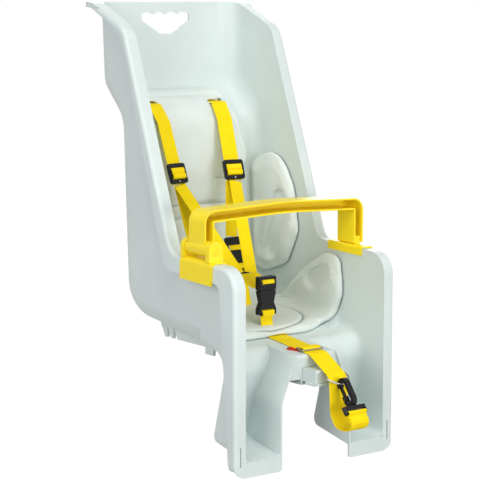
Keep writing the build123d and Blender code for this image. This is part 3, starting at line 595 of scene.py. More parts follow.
@dataclass
class Moulding:
    """A rigid CAD node carried over with joined faces, eased edges and a finish."""

    node: str
    slot: Slot
    body: Body = Body.SEAT
    edge: float = 0.0006
    edge_angle: float = 38.0
    edge_segments: int = 2
    level_angle: float = 0.6

    def build(self, nodes: dict[str, bpy.types.Object], wardrobe: Wardrobe) -> bpy.types.Object:
        """Build the piece.

        Args:
            nodes: The CAD nodes by name.
            wardrobe: The finishes.

        Returns:
            The piece that stands for the node.
        """
        piece = new_piece(f"{self.node}_moulding", *merged(nodes[self.node]))
        work = bmesh.new()
        work.from_mesh(piece.data)
        level = math.radians(self.level_angle)
        bmesh.ops.dissolve_limit(work, angle_limit=level, verts=work.verts, edges=work.edges)
        work.to_mesh(piece.data)
        work.free()
        smooth(piece, MOULDED_CREASE)
        if self.edge > 0:
            ease = piece.modifiers.new("eased_edge", "BEVEL")
            ease.width = self.edge
            ease.segments = self.edge_segments
            ease.limit_method = "ANGLE"
            ease.angle_limit = math.radians(self.edge_angle)
            ease.use_clamp_overlap = True
            ease.harden_normals = True
        return wardrobe.dress(piece, self.slot, self.body, self.node)


def travelled(path: np.ndarray) -> np.ndarray:
    """Return the distance along a path at each of its points: the sum of the steps before it."""
    return np.concatenate([[0.0], np.cumsum(np.linalg.norm(np.diff(path, axis=0), axis=1))])


def rounded_route(corners: np.ndarray, radii: list[float], step: float) -> np.ndarray:
    """Follow a route with an arc at each corner.

    Each corner is replaced by the circle of its radius that touches both runs, and the whole is cut in
    even steps.

    Args:
        corners: The route's points, n by 3.
        radii: One radius for each corner between the two ends.
        step: The distance between points on the result.

    Returns:
        Points along the route.
    """
    line = [corners[:1]]
    for here, radius in zip(range(1, len(corners) - 1), radii):
        back = corners[here - 1] - corners[here]
        ahead = corners[here + 1] - corners[here]
        back, ahead = back / np.linalg.norm(back), ahead / np.linalg.norm(ahead)
        half = math.acos(float(np.clip(back @ ahead, -1.0, 1.0))) / 2
        middle = corners[here] + (back + ahead) / np.linalg.norm(back + ahead) * radius / math.sin(half)
        start = corners[here] + back * radius / math.tan(half) - middle
        end = corners[here] + ahead * radius / math.tan(half) - middle
        share = np.linspace(0.0, 1.0, CORNER_POINTS)[:, None]
        turn = math.pi - 2 * half
        spoke = (start * np.sin((1 - share) * turn) + end * np.sin(share * turn)) / math.sin(turn)
        line.append(middle + spoke)
    line.append(corners[-1:])
    path = np.vstack(line)
    run = travelled(path)
    even = np.linspace(0.0, run[-1], max(2, int(round(run[-1] / step)) + 1))
    return np.stack([np.interp(even, run, path[:, axis]) for axis in range(3)], axis=1)


def tube_faces(rows: int, columns: int) -> Faces:
    """Number the faces of a closed tube, whose rings of points follow one another.

    A wall joins a point and the next one round its ring to the same two on the next ring, and one face
    closes each end.

    Args:
        rows: How many rings there are.
        columns: How many points a ring has.

    Returns:
        Point numbers, one list for each face.
    """
    row, column = np.meshgrid(np.arange(rows - 1), np.arange(columns), indexing="ij")
    after = (column + 1) % columns
    walls = np.stack([row * columns + column, row * columns + after, (row + 1) * columns + after,
                      (row + 1) * columns + column], axis=-1).reshape(-1, 4)
    ring = np.arange(columns)
    return walls.tolist() + [ring[::-1].tolist(), (ring + (rows - 1) * columns).tolist()]


def swept(name: str, path: np.ndarray, across: np.ndarray, profile: np.ndarray) -> bpy.types.Object:
    """Carry a closed profile along a path.

    A point is path + u * across + v * (across x tangent), for each (u, v) of the profile. The UV map
    holds u and the distance along the path, in metres.

    Args:
        name: The object's name.
        path: Points along the middle, n by 3.
        across: The unit direction of u, one for the whole path.
        profile: The profile's points, m by 2, in order round it.

    Returns:
        A closed tube with flat ends.
    """
    tangent = np.gradient(path, axis=0)
    tangent /= np.linalg.norm(tangent, axis=1, keepdims=True)
    out = np.cross(across, tangent)
    out /= np.linalg.norm(out, axis=1, keepdims=True)
    points = path[:, None] + profile[None, :, :1] * across + profile[None, :, 1:] * out[:, None]
    columns = len(profile)
    piece = new_piece(name, points.reshape(-1, 3), tube_faces(len(path), columns))
    corner = np.empty(len(piece.data.loops), dtype=np.int64)
    piece.data.loops.foreach_get("vertex_index", corner)
    flat = np.stack([profile[corner % columns, 0], travelled(path)[corner // columns]], axis=1)
    piece.data.uv_layers.new(name="weave").data.foreach_set("uv", flat.astype(np.float32).reshape(-1))
    face_outwards(piece)
    return piece


def web_profile(width: float) -> np.ndarray:
    """Draw the outline of flat webbing: a stadium of its width and thickness.

    Args:
        width: The width over both selvedges.

    Returns:
        Points across and out of the webbing, n by 2, in order round it.
    """
    half = WEB_THICKNESS / 2
    side = np.linspace(-0.5, 0.5, FLAT_POINTS) * (width - WEB_THICKNESS)
    arc = np.linspace(-0.5, 0.5, ROUND_POINTS + 2)[1:-1] * math.pi
    low = np.stack([side, np.full_like(side, -half)], axis=1)
    right = np.stack([width / 2 - half + half * np.cos(arc), half * np.sin(arc)], axis=1)
    return np.vstack([low, right, -low, -right])


def webbing(
    name: str, path: np.ndarray, across: np.ndarray, width: float, wardrobe: Wardrobe, *nodes: str
) -> bpy.types.Object:
    """Lay a length of webbing along a path.

    Args:
        name: The object's name.
        path: Points along its middle, n by 3.
        across: The unit direction of its width.
        width: Its width.
        wardrobe: The finishes.
        nodes: CAD nodes that it replaces.

    Returns:
        The webbing.
    """
    piece = swept(name, path, across, web_profile(width))
    smooth(piece, TRIM_CREASE)
    return wardrobe.dress(piece, Slot.WEB, Body.SEAT, *nodes)


@dataclass
class Strap:
    """One length of webbing along a route of corners in space, flat across one direction."""

    node: str
    width: float
    route: list[Point]
    bends: list[float]
    across: Point

    def build(self, wardrobe: Wardrobe) -> bpy.types.Object:
        """Build the strap.

        Args:
            wardrobe: The finishes.

        Returns:
            The webbing that stands for its node.
        """
        path = rounded_route(np.array(self.route), self.bends, STRAP_STEP)
        across = np.array(self.across) / np.linalg.norm(self.across)
        return webbing(f"{self.node}_webbing", path, across, self.width, wardrobe, self.node)


@dataclass(frozen=True)
class Place:
    """A flat place on the seat: its middle, and the unit directions across it, up it and out of it."""

    middle: np.ndarray
    across: np.ndarray
    up: np.ndarray
    out: np.ndarray

    @classmethod
    def on_strap(cls, top: Point, low: Point, share: float, lift: float = 0.0) -> Place:
        """Lie on a straight strap.

        Across is level and square to the strap, up runs along it and out is across x up.

        Args:
            top: The strap's upper end.
            low: Its lower end.
            share: How far up the strap the middle is, from 0 to 1.
            lift: How far the place stands out of the strap.

        Returns:
            The place.
        """
        along = np.array(top) - np.array(low)
        across = np.array([along[1], -along[0], 0.0])
        across /= np.linalg.norm(across)
        out = np.cross(across, along)
        out /= np.linalg.norm(out)
        return cls(np.array(low) + along * share + out * lift, across, along / np.linalg.norm(along), out)

    def route(self, corners: tuple[Flat, ...]) -> np.ndarray:
        """Return points in space from distances up and out of the middle."""
        flat = np.array(corners)
        return self.middle + flat[:, :1] * self.up + flat[:, 1:] * self.out

    def moved(self, across: float = 0.0, up: float = 0.0, out: float = 0.0) -> Place:
        """Return the same place with its middle moved."""
        middle = self.middle + across * self.across + up * self.up + out * self.out
        return Place(middle, self.across, self.up, self.out)


@dataclass
class Band:
    """A short turn of webbing that shows in the openings of a fitting."""

    name: str
    place: Place
    width: float
    corners: tuple[Flat, ...]
    bend: float = 0.0014

    def build(self, wardrobe: Wardrobe) -> bpy.types.Object:
        """Build the turn of webbing.

        Args:
            wardrobe: The finishes.

        Returns:
            The webbing.
        """
        bends = [self.bend] * (len(self.corners) - 2)
        path = rounded_route(self.place.route(self.corners), bends, TURN_STEP)
        return webbing(self.name, path, self.place.across, self.width, wardrobe)


@dataclass
class Stud:
    """A low moulded boss, rivet head or stitch: a rounded plate that stands out of a place.

    With r from 0 to 1 and an angle a, the outline is the superellipse of the power, scaled by r, and the
    height falls from the top to the foot as (1 - r ** edge) ** (1 / edge). The foot is sunk by a share of
    the height.
    """

    name: str
    place: Place
    half: Flat
    height: float
    slot: Slot
    power: float = 2.0
    edge: float = 2.0
    sunk: float = 0.5
    rings: int = 7
    spokes: int = 24

    def surface(self) -> tuple[np.ndarray, Faces]:
        """Work out the stud.

        Returns:
            The points, n by 3, and the faces.
        """
        angle = np.linspace(0.0, 2 * math.pi, self.spokes, endpoint=False)
        circle = np.stack([np.cos(angle), np.sin(angle)], axis=1)
        circle = np.sign(circle) * np.abs(circle) ** (2.0 / self.power)
        share = np.sin(np.linspace(0.0, 0.5, self.rings + 1)[1:] * math.pi)
        rise = (1.0 - np.minimum(share, 1.0) ** self.edge) ** (1.0 / self.edge) * self.height
        flat = share[:, None, None] * circle * np.array(self.half)
        ring = (flat[..., :1] * self.place.across + flat[..., 1:] * self.place.up
                + rise[:, None, None] * self.place.out)
        foot = ring[-1] - self.place.out * self.height * self.sunk
        top = self.place.out[None] * self.height
        points = np.vstack([top, ring.reshape(-1, 3), foot]) + self.place.middle
        turn = np.arange(self.spokes)
        after = (turn + 1) % self.spokes
        cap = np.stack([np.zeros_like(turn), 1 + turn, 1 + after], axis=1)
        row = np.arange(self.rings)[:, None] * self.spokes + 1
        below = row + self.spokes
        walls = np.stack([row + turn, below + turn, below + after, row + after], axis=-1).reshape(-1, 4)
        base = (1 + self.rings * self.spokes + turn)[::-1]
        return points, cap.tolist() + walls.tolist() + [base.tolist()]

    def build(self, wardrobe: Wardrobe) -> bpy.types.Object:
        """Build the stud.

        Args:
            wardrobe: The finishes.

        Returns:
            The piece.
        """
        piece = new_piece(self.name, *self.surface())
        face_outwards(piece)
        smooth(piece, TRIM_CREASE)
        return wardrobe.dress(piece, self.slot, Body.SEAT)


@dataclass
class Harness:
    """The child's harness: shoulder, chest, hip and lap straps on both sides, yoke and crotch strap.

    The turns in the adjusters, hip plates and buckle are corners up and out of the fitting's place.
    """

    shoulder_width: float = 0.030
    narrow_width: float = 0.025
    yoke_width: float = 0.048
    bend: float = 0.008
    shoulder_plan: tuple[Flat, Flat] = ((0.076, 0.226), (0.061, 0.123))
    shoulder_route: tuple[Flat, ...] = ((0.226, 0.401), (0.183, 0.3995), (0.160, 0.370), (0.123, 0.262))
    chest: tuple[Point, Point] = ((0.0604, 0.1194, 0.261), (0.0132, 0.0115, 0.114))
    hip: tuple[Point, Point] = ((0.056, 0.126, 0.261), (0.042, 0.1064, 0.1646))
    lap: tuple[Point, Point] = ((0.040, 0.0743, 0.0946), (0.044, 0.066, 0.0434))
    yoke: tuple[Point, Point] = ((0.0, 0.008, 0.113), (0.0, -0.0414, 0.097))
    crotch: tuple[Point, ...] = ((0.0, -0.048, 0.0496), (0.0, -0.052, 0.032), (0.0, -0.052, 0.005))
    adjuster_share: float = 0.17
    adjuster_lift: float = 0.0012
    adjuster_turns: Turns = (
        ("upper", ((0.0104, -0.0010), (0.0090, 0.0060), (0.0010, 0.0068), (0.0008, 0.0045))),
        ("lower", ((-0.0008, 0.0045), (-0.0010, 0.0074), (-0.0084, 0.0076), (-0.0104, -0.0010))),
    )
    rivet_up: float = -0.0143
    rivet_out: float = 0.005
    rivet_radius: float = 0.0016
    rivet_height: float = 0.0006
    plate_x: float = 0.040
    plate: tuple[Flat, Flat] = ((0.106, 0.164), (0.074, 0.094))
    plate_turn: tuple[Flat, ...] = (
        (0.0375, -0.0011), (0.0226, -0.0011), (0.0206, 0.0050), (0.0136, 0.0056), (0.0118, 0.0015))
    plate_ease: float = 0.001
    panel_half: Flat = (0.0145, 0.0125)
    panel_out: float = 0.0038
    panel_height: float = 0.0014
    panel_power: float = 8.0
    panel_edge: float = 6.0
    buckle: Point = (0.0, -0.048, 0.0)
    buckle_turns: Turns = (
        ("upper", ((0.1092, -0.0050), (0.1102, 0.0068), (0.1046, 0.0082), (0.1040, 0.0050))),
        ("lower", ((0.0492, 0.0000), (0.0482, 0.0076), (0.0574, 0.0080), (0.0584, 0.0010))),
    )

    def straps(self) -> list[Strap]:
        """List the straps of the harness.

        Returns:
            The yoke, the crotch strap, and each side's shoulder, chest, hip and lap strap.
        """
        made = [
            Strap("yoke_strap", self.yoke_width, list(self.yoke), [], SEAT_ACROSS),
            Strap("crotch_strap", self.narrow_width, list(self.crotch), [self.bend], SEAT_ACROSS),
        ]
        for side, name in SIDES:
            route = self.shoulder_corners(side)
            across = self.level_across(route)
            made.append(Strap(f"{name}_shoulder_strap", self.shoulder_width, route, [self.bend] * 2, across))
            for part, ends in (("chest", self.chest), ("hip", self.hip), ("lap", self.lap)):
                route = [(side * x, y, z) for x, y, z in ends]
                made.append(Strap(f"{name}_{part}_strap", self.narrow_width, route, [], self.facing(route)))
        return made

    def shoulder_corners(self, side: float) -> list[Point]:
        """Return the corners of the shoulder strap on one side, which is straight in plan."""
        (x0, y0), (x1, y1) = self.shoulder_plan
        return [(side * (x0 + (x1 - x0) * (y0 - y) / (y0 - y1)), y, z) for y, z in self.shoulder_route]

    def level_across(self, route: list[Point]) -> Point:
        """Return the level direction that is square to a route's heading in plan."""
        east, north = route[-1][0] - route[0][0], route[-1][1] - route[0][1]
        return (north, -east, 0.0)

    def facing(self, route: list[Point]) -> Point:
        """Find the direction across a strap that is nearest to the seat's width.

        It is the seat's width less its part along the run, so it is square to the run.

        Args:
            route: The strap's two ends.

        Returns:
            The direction, of any length.
        """
        run = np.array(route[-1]) - np.array(route[0])
        run /= np.linalg.norm(run)
        width = -np.array(SEAT_ACROSS)
        return tuple(map(float, width - run * float(width @ run)))

    def on_adjuster(self, side: float, name: str) -> list[Band | Stud]:
        """Dress the adjuster on one side.

        Args:
            side: -1 on the left and 1 on the right.
            name: The side's name.

        Returns:
            The turns of webbing in its openings, and its rivet.
        """
        route = self.shoulder_corners(side)
        place = Place.on_strap(route[-2], route[-1], self.adjuster_share, self.adjuster_lift)
        turns = [
            Band(f"{name}_adjuster_{part}_turn", place, self.shoulder_width, corners)
            for part, corners in self.adjuster_turns
        ]
        spot = place.moved(up=self.rivet_up, out=self.rivet_out)
        half = (self.rivet_radius, self.rivet_radius)
        return [*turns, Stud(f"{name}_adjuster_rivet", spot, half, self.rivet_height, Slot.STEEL)]

    def on_plate(self, side: float, name: str) -> list[Band | Stud]:
        """Dress the hip plate on one side.

        Args:
            side: -1 on the left and 1 on the right.
            name: The side's name.

        Returns:
            The turns of webbing in its openings, and its middle panel.
        """
        top, low = ((side * self.plate_x, y, z) for y, z in self.plate)
        place = Place.on_strap(top, low, share=0.5)
        width = self.narrow_width - self.plate_ease
        made: list[Band | Stud] = []
        for part, way in (("upper", 1.0), ("lower", -1.0)):
            corners = tuple((way * up, out) for up, out in self.plate_turn)
            made.append(Band(f"{name}_plate_{part}_turn", place, width, corners))
        face = place.moved(out=self.panel_out)
        made.append(Stud(f"{name}_plate_panel", face, self.panel_half, self.panel_height, Slot.BLACK,
                         self.panel_power, self.panel_edge))
        return made

    def on_buckle(self) -> list[Band]:
        """Dress the buckle.

        Returns:
            The turns of webbing at its two ends.
        """
        up, out = np.array([0.0, 0.0, 1.0]), np.array([0.0, -1.0, 0.0])
        place = Place(np.array(self.buckle), np.array(SEAT_ACROSS), up, out)
        return [
            Band(f"buckle_{part}_turn", place, self.narrow_width, corners)
            for part, corners in self.buckle_turns
        ]

    def build(self, wardrobe: Wardrobe) -> None:
        """Build every strap of the harness and what shows in its fittings.

        Args:
            wardrobe: The finishes.
        """
        pieces: list[Strap | Band | Stud] = [*self.straps()]
        for side, name in SIDES:
            pieces += self.on_adjuster(side, name) + self.on_plate(side, name)
        for piece in pieces + self.on_buckle():
            piece.build(wardrobe)


@dataclass
class Stitching:
    """A row of thread across webbing: small studs side by side in one piece."""

    name: str
    place: Place
    span: float
    count: int
    half: Flat = (0.0013, 0.00035)
    height: float = 0.0004

    def build(self, wardrobe: Wardrobe) -> bpy.types.Object:
        """Build the row.

        Args:
            wardrobe: The finishes.

        Returns:
            The thread.
        """
        points: list[np.ndarray] = []
        faces: Faces = []
        for shift in np.linspace(-0.5, 0.5, self.count) * self.span:
            spot = self.place.moved(across=float(shift))
            stitch = Stud(self.name, spot, self.half, self.height, Slot.BLACK, rings=2, spokes=8)
            dots, sides = stitch.surface()
            before = sum(map(len, points))
            faces += [np.add(side, before).tolist() for side in sides]
            points.append(dots)
        piece = new_piece(self.name, np.vstack(points), faces)
        face_outwards(piece)
        smooth(piece, TRIM_CREASE)
        return wardrobe.dress(piece, Slot.BLACK, Body.SEAT)


@dataclass
class SafetyStrap:
    """The strap that ties the seat to the bike's frame, its turn in the slider and its sewn end.

    The route is in Y and Z, and the turns are corners up and out of the slider's or the hook base's place.
    """

    width: float = 0.038
    middle: float = 0.005
    route: tuple[Flat, ...] = (
        (-0.060, 0.01728), (-0.182, 0.00364), (-0.234, -0.027), (-0.237, -0.086), (-0.250, -0.108),
        (-0.284, -0.108), (-0.28965, -0.09219), (-0.28098, -0.08069))
    bends: tuple[float, ...] = (0.012, 0.016, 0.030, 0.022, 0.016, 0.010)
    slider_at: float = -0.160
    slider_lift: float = 0.0012
    slider_ease: float = 0.0005
    slider_turn: tuple[Flat, ...] = (
        (0.0074, -0.0012), (0.0054, 0.0040), (-0.0054, 0.0042), (-0.0074, -0.0012))
    layer: float = 0.0017
    tail: float = 0.009
    tail_bends: tuple[float, ...] = (0.002, 0.0012, 0.0012)
    sewn_ease: float = 0.001
    bar_front: tuple[Flat, ...] = (
        (-0.0098, 0.0017), (-0.0066, 0.0060), (-0.0036, 0.0060), (-0.0022, -0.0010))
    bar_back: tuple[Flat, ...] = (
        (-0.0105, 0.0), (-0.0068, -0.0058), (-0.0034, -0.0056), (-0.0020, 0.0008))
    hem_share: float = 0.35
    hem_span: float = 0.86
    hem_stitches: int = 11

    def corners(self) -> list[Point]:
        """Return the route's corners in space."""
        return [(self.middle, y, z) for y, z in self.route]

    def on_slider(self) -> Place:
        """Find the slider's place on the strap's first run.

        Returns:
            The place, where the run comes to the slider's Y.
        """
        first, second = self.corners()[:2]
        share = (self.slider_at - second[1]) / (first[1] - second[1])
        return Place.on_strap(first, second, share, self.slider_lift)

    def on_hook(self) -> Place:
        """Find the place of the hook's base.

        Returns:
            The place at the middle of the base's box, with up along the strap's last run.
        """
        low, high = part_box("hook_base")
        heart = (np.array(low) + np.array(high)) / 2
        run = np.array(self.corners()[-1]) - np.array(self.corners()[-2])
        return Place.on_strap(tuple(heart + run), tuple(heart - run), share=0.5)

    def tail_route(self, base: Place) -> np.ndarray:
        """Follow the sewn end of the strap: along its outer face, round the last bend and into the base.

        Its line is the strap's own, moved out by a layer square to each run, and the two runs meet on the
        bisector at a layer over the cosine of half the bend.

        Args:
            base: The place of the hook's base.

        Returns:
            The corners of the tail's middle line.
        """
        before, turn, last = (np.array(corner) for corner in self.corners()[-3:])
        runs = ((before, turn), (turn, last))
        headings = [(end - start) / np.linalg.norm(end - start) for start, end in runs]
        first, second = (np.cross(base.across, heading) for heading in headings)
        bisector = (first + second) / np.linalg.norm(first + second)
        knee = turn + bisector * self.layer / float(bisector @ first)
        start = turn - headings[0] * self.tail + first * self.layer
        return np.vstack([start, knee, base.route(self.bar_front)])

    def build(self, wardrobe: Wardrobe) -> None:
        """Build the strap, its turns and its sewn tail.

        Args:
            wardrobe: The finishes.
        """
        Strap("safety_strap", self.width, self.corners(), list(self.bends), SEAT_ACROSS).build(wardrobe)
        Band("slider_turn", self.on_slider(), self.width - self.slider_ease, self.slider_turn).build(wardrobe)
        base = self.on_hook()
        width = self.width - self.sewn_ease
        Band("hook_inner_turn", base, width, self.bar_back).build(wardrobe)
        tail = self.tail_route(base)
        path = rounded_route(tail, [self.bends[-1], *self.tail_bends], TAIL_STEP)
        webbing("safety_strap_tail", path, base.across, width, wardrobe)
        hem = Place.on_strap(tuple(tail[1]), tuple(tail[0]), self.hem_share, WEB_THICKNESS / 2)
        Stitching("tail_stitching", hem, self.width * self.hem_span, self.hem_stitches).build(wardrobe)


def bell(away: np.ndarray, wide: float) -> np.ndarray:
    """Return a bell curve: e to the power of minus the square of a distance over a width."""
    return np.exp(-((away / wide) ** 2))


class Press(ABC):
    """A seam or a hollow that is pressed into the open side of a pad, or painted shade laid all round an
    edge.
    """

    all_round: bool = False

    @abstractmethod
    def depth(self, points: np.ndarray) -> tuple[np.ndarray, np.ndarray]:
        """Work out the press at a pad's points.

        Args:
            points: The pad's points, n by 3.

        Returns:
            How deep each point is pressed, in metres, and how dark it turns, from 0 to 1: the thread of a
            seam, and the painted shade of an edge.
        """


@dataclass(frozen=True)
class OvalSeam(Press):
    """A sewn line round an ellipse in plan.

    With q the ellipse's own radius of a point, 1 on the line, the distance from the line is close to
    (q - 1) / |slope of q|, and the depth falls with it as a bell curve.
    """

    middle: Flat
    half: Flat
    deep: float
    wide: float
    thread: float = 0.0011

    def depth(self, points: np.ndarray) -> tuple[np.ndarray, np.ndarray]:
        """Work out the seam.

        Args:
            points: The pad's points, n by 3.

        Returns:
            The depth and the thread at each point.
        """
        flat = (points[:, :2] - np.array(self.middle)) / np.array(self.half)
        ratio = np.maximum(np.linalg.norm(flat, axis=1), TINY)
        slope = np.linalg.norm(flat / np.array(self.half), axis=1) / ratio
        away = (ratio - 1.0) / np.maximum(slope, TINY)
        return self.deep * bell(away, self.wide), bell(away, self.thread)


@dataclass(frozen=True)
class Channel(Press):
    """A level sewn channel across a pad: a bell curve over the height, which fades at both ends."""

    height: float
    span: float
    deep: float
    wide: float
    dark: float = 0.5
    thread: float = 0.0012
    fade: float = 0.012

    def depth(self, points: np.ndarray) -> tuple[np.ndarray, np.ndarray]:
        """Work out the channel.

        Args:
            points: The pad's points, n by 3.

        Returns:
            The depth and the thread at each point.
        """
        inside = np.clip((self.span - np.abs(points[:, 0])) / self.fade, 0.0, 1.0)
        away = points[:, 2] - self.height
        return self.deep * inside * bell(away, self.wide), self.dark * inside * bell(away, self.thread)


@dataclass(frozen=True)
class Border(Press):
    """A sewn line that follows a pad's outline at a distance inside it.

    The distance from the outline is the least distance to its straight edges, mirrored in X, and the
    depth is a bell curve round the inset.
    """

    outline: tuple[Flat, ...]
    inset: float
    deep: float
    wide: float
    dark: float
    thread: float = 0.0011

    def depth(self, points: np.ndarray) -> tuple[np.ndarray, np.ndarray]:
        """Work out the border.

        Args:
            points: The pad's points, n by 3.

        Returns:
            The depth and the thread at each point.
        """
        spot = np.stack([np.abs(points[:, 0]), points[:, 2]], axis=1)[:, None]
        start, end = np.array(self.outline[:-1]), np.array(self.outline[1:])
        run = end - start
        share = np.clip(((spot - start) * run).sum(axis=2) / (run ** 2).sum(axis=1), 0.0, 1.0)
        away = np.linalg.norm(spot - start - share[..., None] * run, axis=2).min(axis=1) - self.inset
        return self.deep * bell(away, self.wide), self.dark * bell(away, self.thread)


@dataclass(frozen=True)
class Hollow(Press):
    """A soft hollow round a short line on a side pad, deepest at its upper rim, with gathers round it.

    With t the distance from the line over the hollow's radius and h how far up the rim a point is, from
    -1 to 1, the depth is a smooth step that starts at the brim's t and is steeper with h, times
    1 - tilt + tilt * h. The gathers are a cosine of the angle round the line that fades to both sides of
    its own t.
    """

    start: Flat
    end: Flat
    radius: float
    deep: float
    gathers: int
    gather_deep: float = 0.0005
    gather_at: float = 1.2
    gather_wide: float = 0.22
    brim: float = 1.1
    slope: float = 0.50
    steeper: float = 0.26
    tilt: float = 0.25

    def depth(self, points: np.ndarray) -> tuple[np.ndarray, np.ndarray]:
        """Work out the hollow.

        Args:
            points: The pad's points, n by 3.

        Returns:
            The depth at each point, and no thread.
        """
        spot, start = points[:, 1:], np.array(self.start)
        run = np.array(self.end) - start
        share = np.clip(((spot - start) @ run) / max(float(run @ run), TINY), 0.0, 1.0)
        away = spot - start - share[:, None] * run
        reach = np.linalg.norm(away, axis=1) / self.radius
        lift = np.clip(away[:, 1] / self.radius, -1.0, 1.0)
        step = np.clip((self.brim - reach) / (self.slope - self.steeper * lift), 0.0, 1.0)
        step = step * step * (3.0 - 2.0 * step)
        upper = 1.0 - self.tilt + self.tilt * lift
        angle = np.arctan2(away[:, 1], away[:, 0])
        fold = np.cos(angle * self.gathers) * bell(reach - self.gather_at, self.gather_wide)
        return self.deep * step * upper + self.gather_deep * fold, np.zeros(len(points))


@dataclass(frozen=True)
class CornerWrap:
    """The round corner between the shell's side and back, which a side pad is stretched round.

    Past its start the distance along the wall grows in proportion, so that the pad's end comes to its
    reach, and what passes the corner's axis turns round it by that length over the mean radius.
    """

    start: float = 0.118
    end: float = 0.143
    reach: float = 0.155
    reach_rise: float = 0.055
    axis: Flat = (0.112, 0.1327)
    lean: float = 0.0437
    mean: float = 0.0286

    def moved(self, points: np.ndarray) -> np.ndarray:
        """Stretch a pad round the corner on its own side.

        Args:
            points: The pad's points, n by 3.

        Returns:
            The moved points.
        """
        side = np.sign(points[:, 0].mean())
        along, height = points[:, 1], points[:, 2]
        out = side * points[:, 0] - self.axis[0]
        grown = (self.reach + self.reach_rise * height - self.start) / (self.end - self.start)
        far = np.where(along > self.start, self.start + (along - self.start) * grown, along)
        middle = self.axis[1] + self.lean * height
        turn = np.maximum(far - middle, 0.0) / self.mean
        return np.stack([
            side * (self.axis[0] + out * np.cos(turn)),
            np.where(turn > 0.0, middle + out * np.sin(turn), far),
            height,
        ], axis=1)


@dataclass(frozen=True)
class Slit:
    """A harness slot whose foam lips spring nearly shut while no strap is in it.

    Within the slot's width, the heights from its edge to a reach away are stretched evenly towards its
    middle, which leaves a narrow slit.
    """

    middle: Flat = (0.076, 0.263)
    half_width: float = 0.0235
    half_slot: float = 0.0064
    half_slit: float = 0.0001
    reach: float = 0.016

    def moved(self, points: np.ndarray) -> np.ndarray:
        """Close the lips of the slots on both sides of a pad.

        Args:
            points: The pad's points, n by 3.

        Returns:
            The moved points.
        """
        rise = points[:, 2] - self.middle[1]
        level = np.abs(np.abs(points[:, 0]) - self.middle[0])
        far = np.abs(rise)
        share = (far - self.half_slot) / (self.reach - self.half_slot)
        closed = np.maximum(self.half_slit + share * (self.reach - self.half_slit), self.half_slit)
        within = (level < self.half_width) & (far < self.reach)
        moved = points.copy()
        moved[:, 2] = np.where(within, self.middle[1] + np.sign(rise) * closed, points[:, 2])
        return moved


@dataclass(frozen=True)
class PaintedGapShade(Press):
    """Painted shade where a pad meets the side wall and its round corner: the pad darkens in the gap by the
    wall.

    The gap to the wall is the wall's distance from the corner's axis less the point's own, and the painted
    shade fades out where the gap passes its width.
    """

    all_round = True
    wall: float = 0.1466
    wide: float = 0.0030
    fade: float = 0.0008
    wrap: CornerWrap = CornerWrap()

    def depth(self, points: np.ndarray) -> tuple[np.ndarray, np.ndarray]:
        """Work out the edging.

        Args:
            points: The pad's points, n by 3.

        Returns:
            No depth, and the painted shade at each point.
        """
        out = np.abs(points[:, 0]) - self.wrap.axis[0]
        past = np.maximum(points[:, 1] - self.wrap.axis[1] - self.wrap.lean * points[:, 2], 0.0)
        gap = self.wall - self.wrap.axis[0] - np.hypot(out, past)
        return np.zeros(len(points)), np.clip((self.wide - gap) / self.fade, 0.0, 1.0) * (out > 0.0)


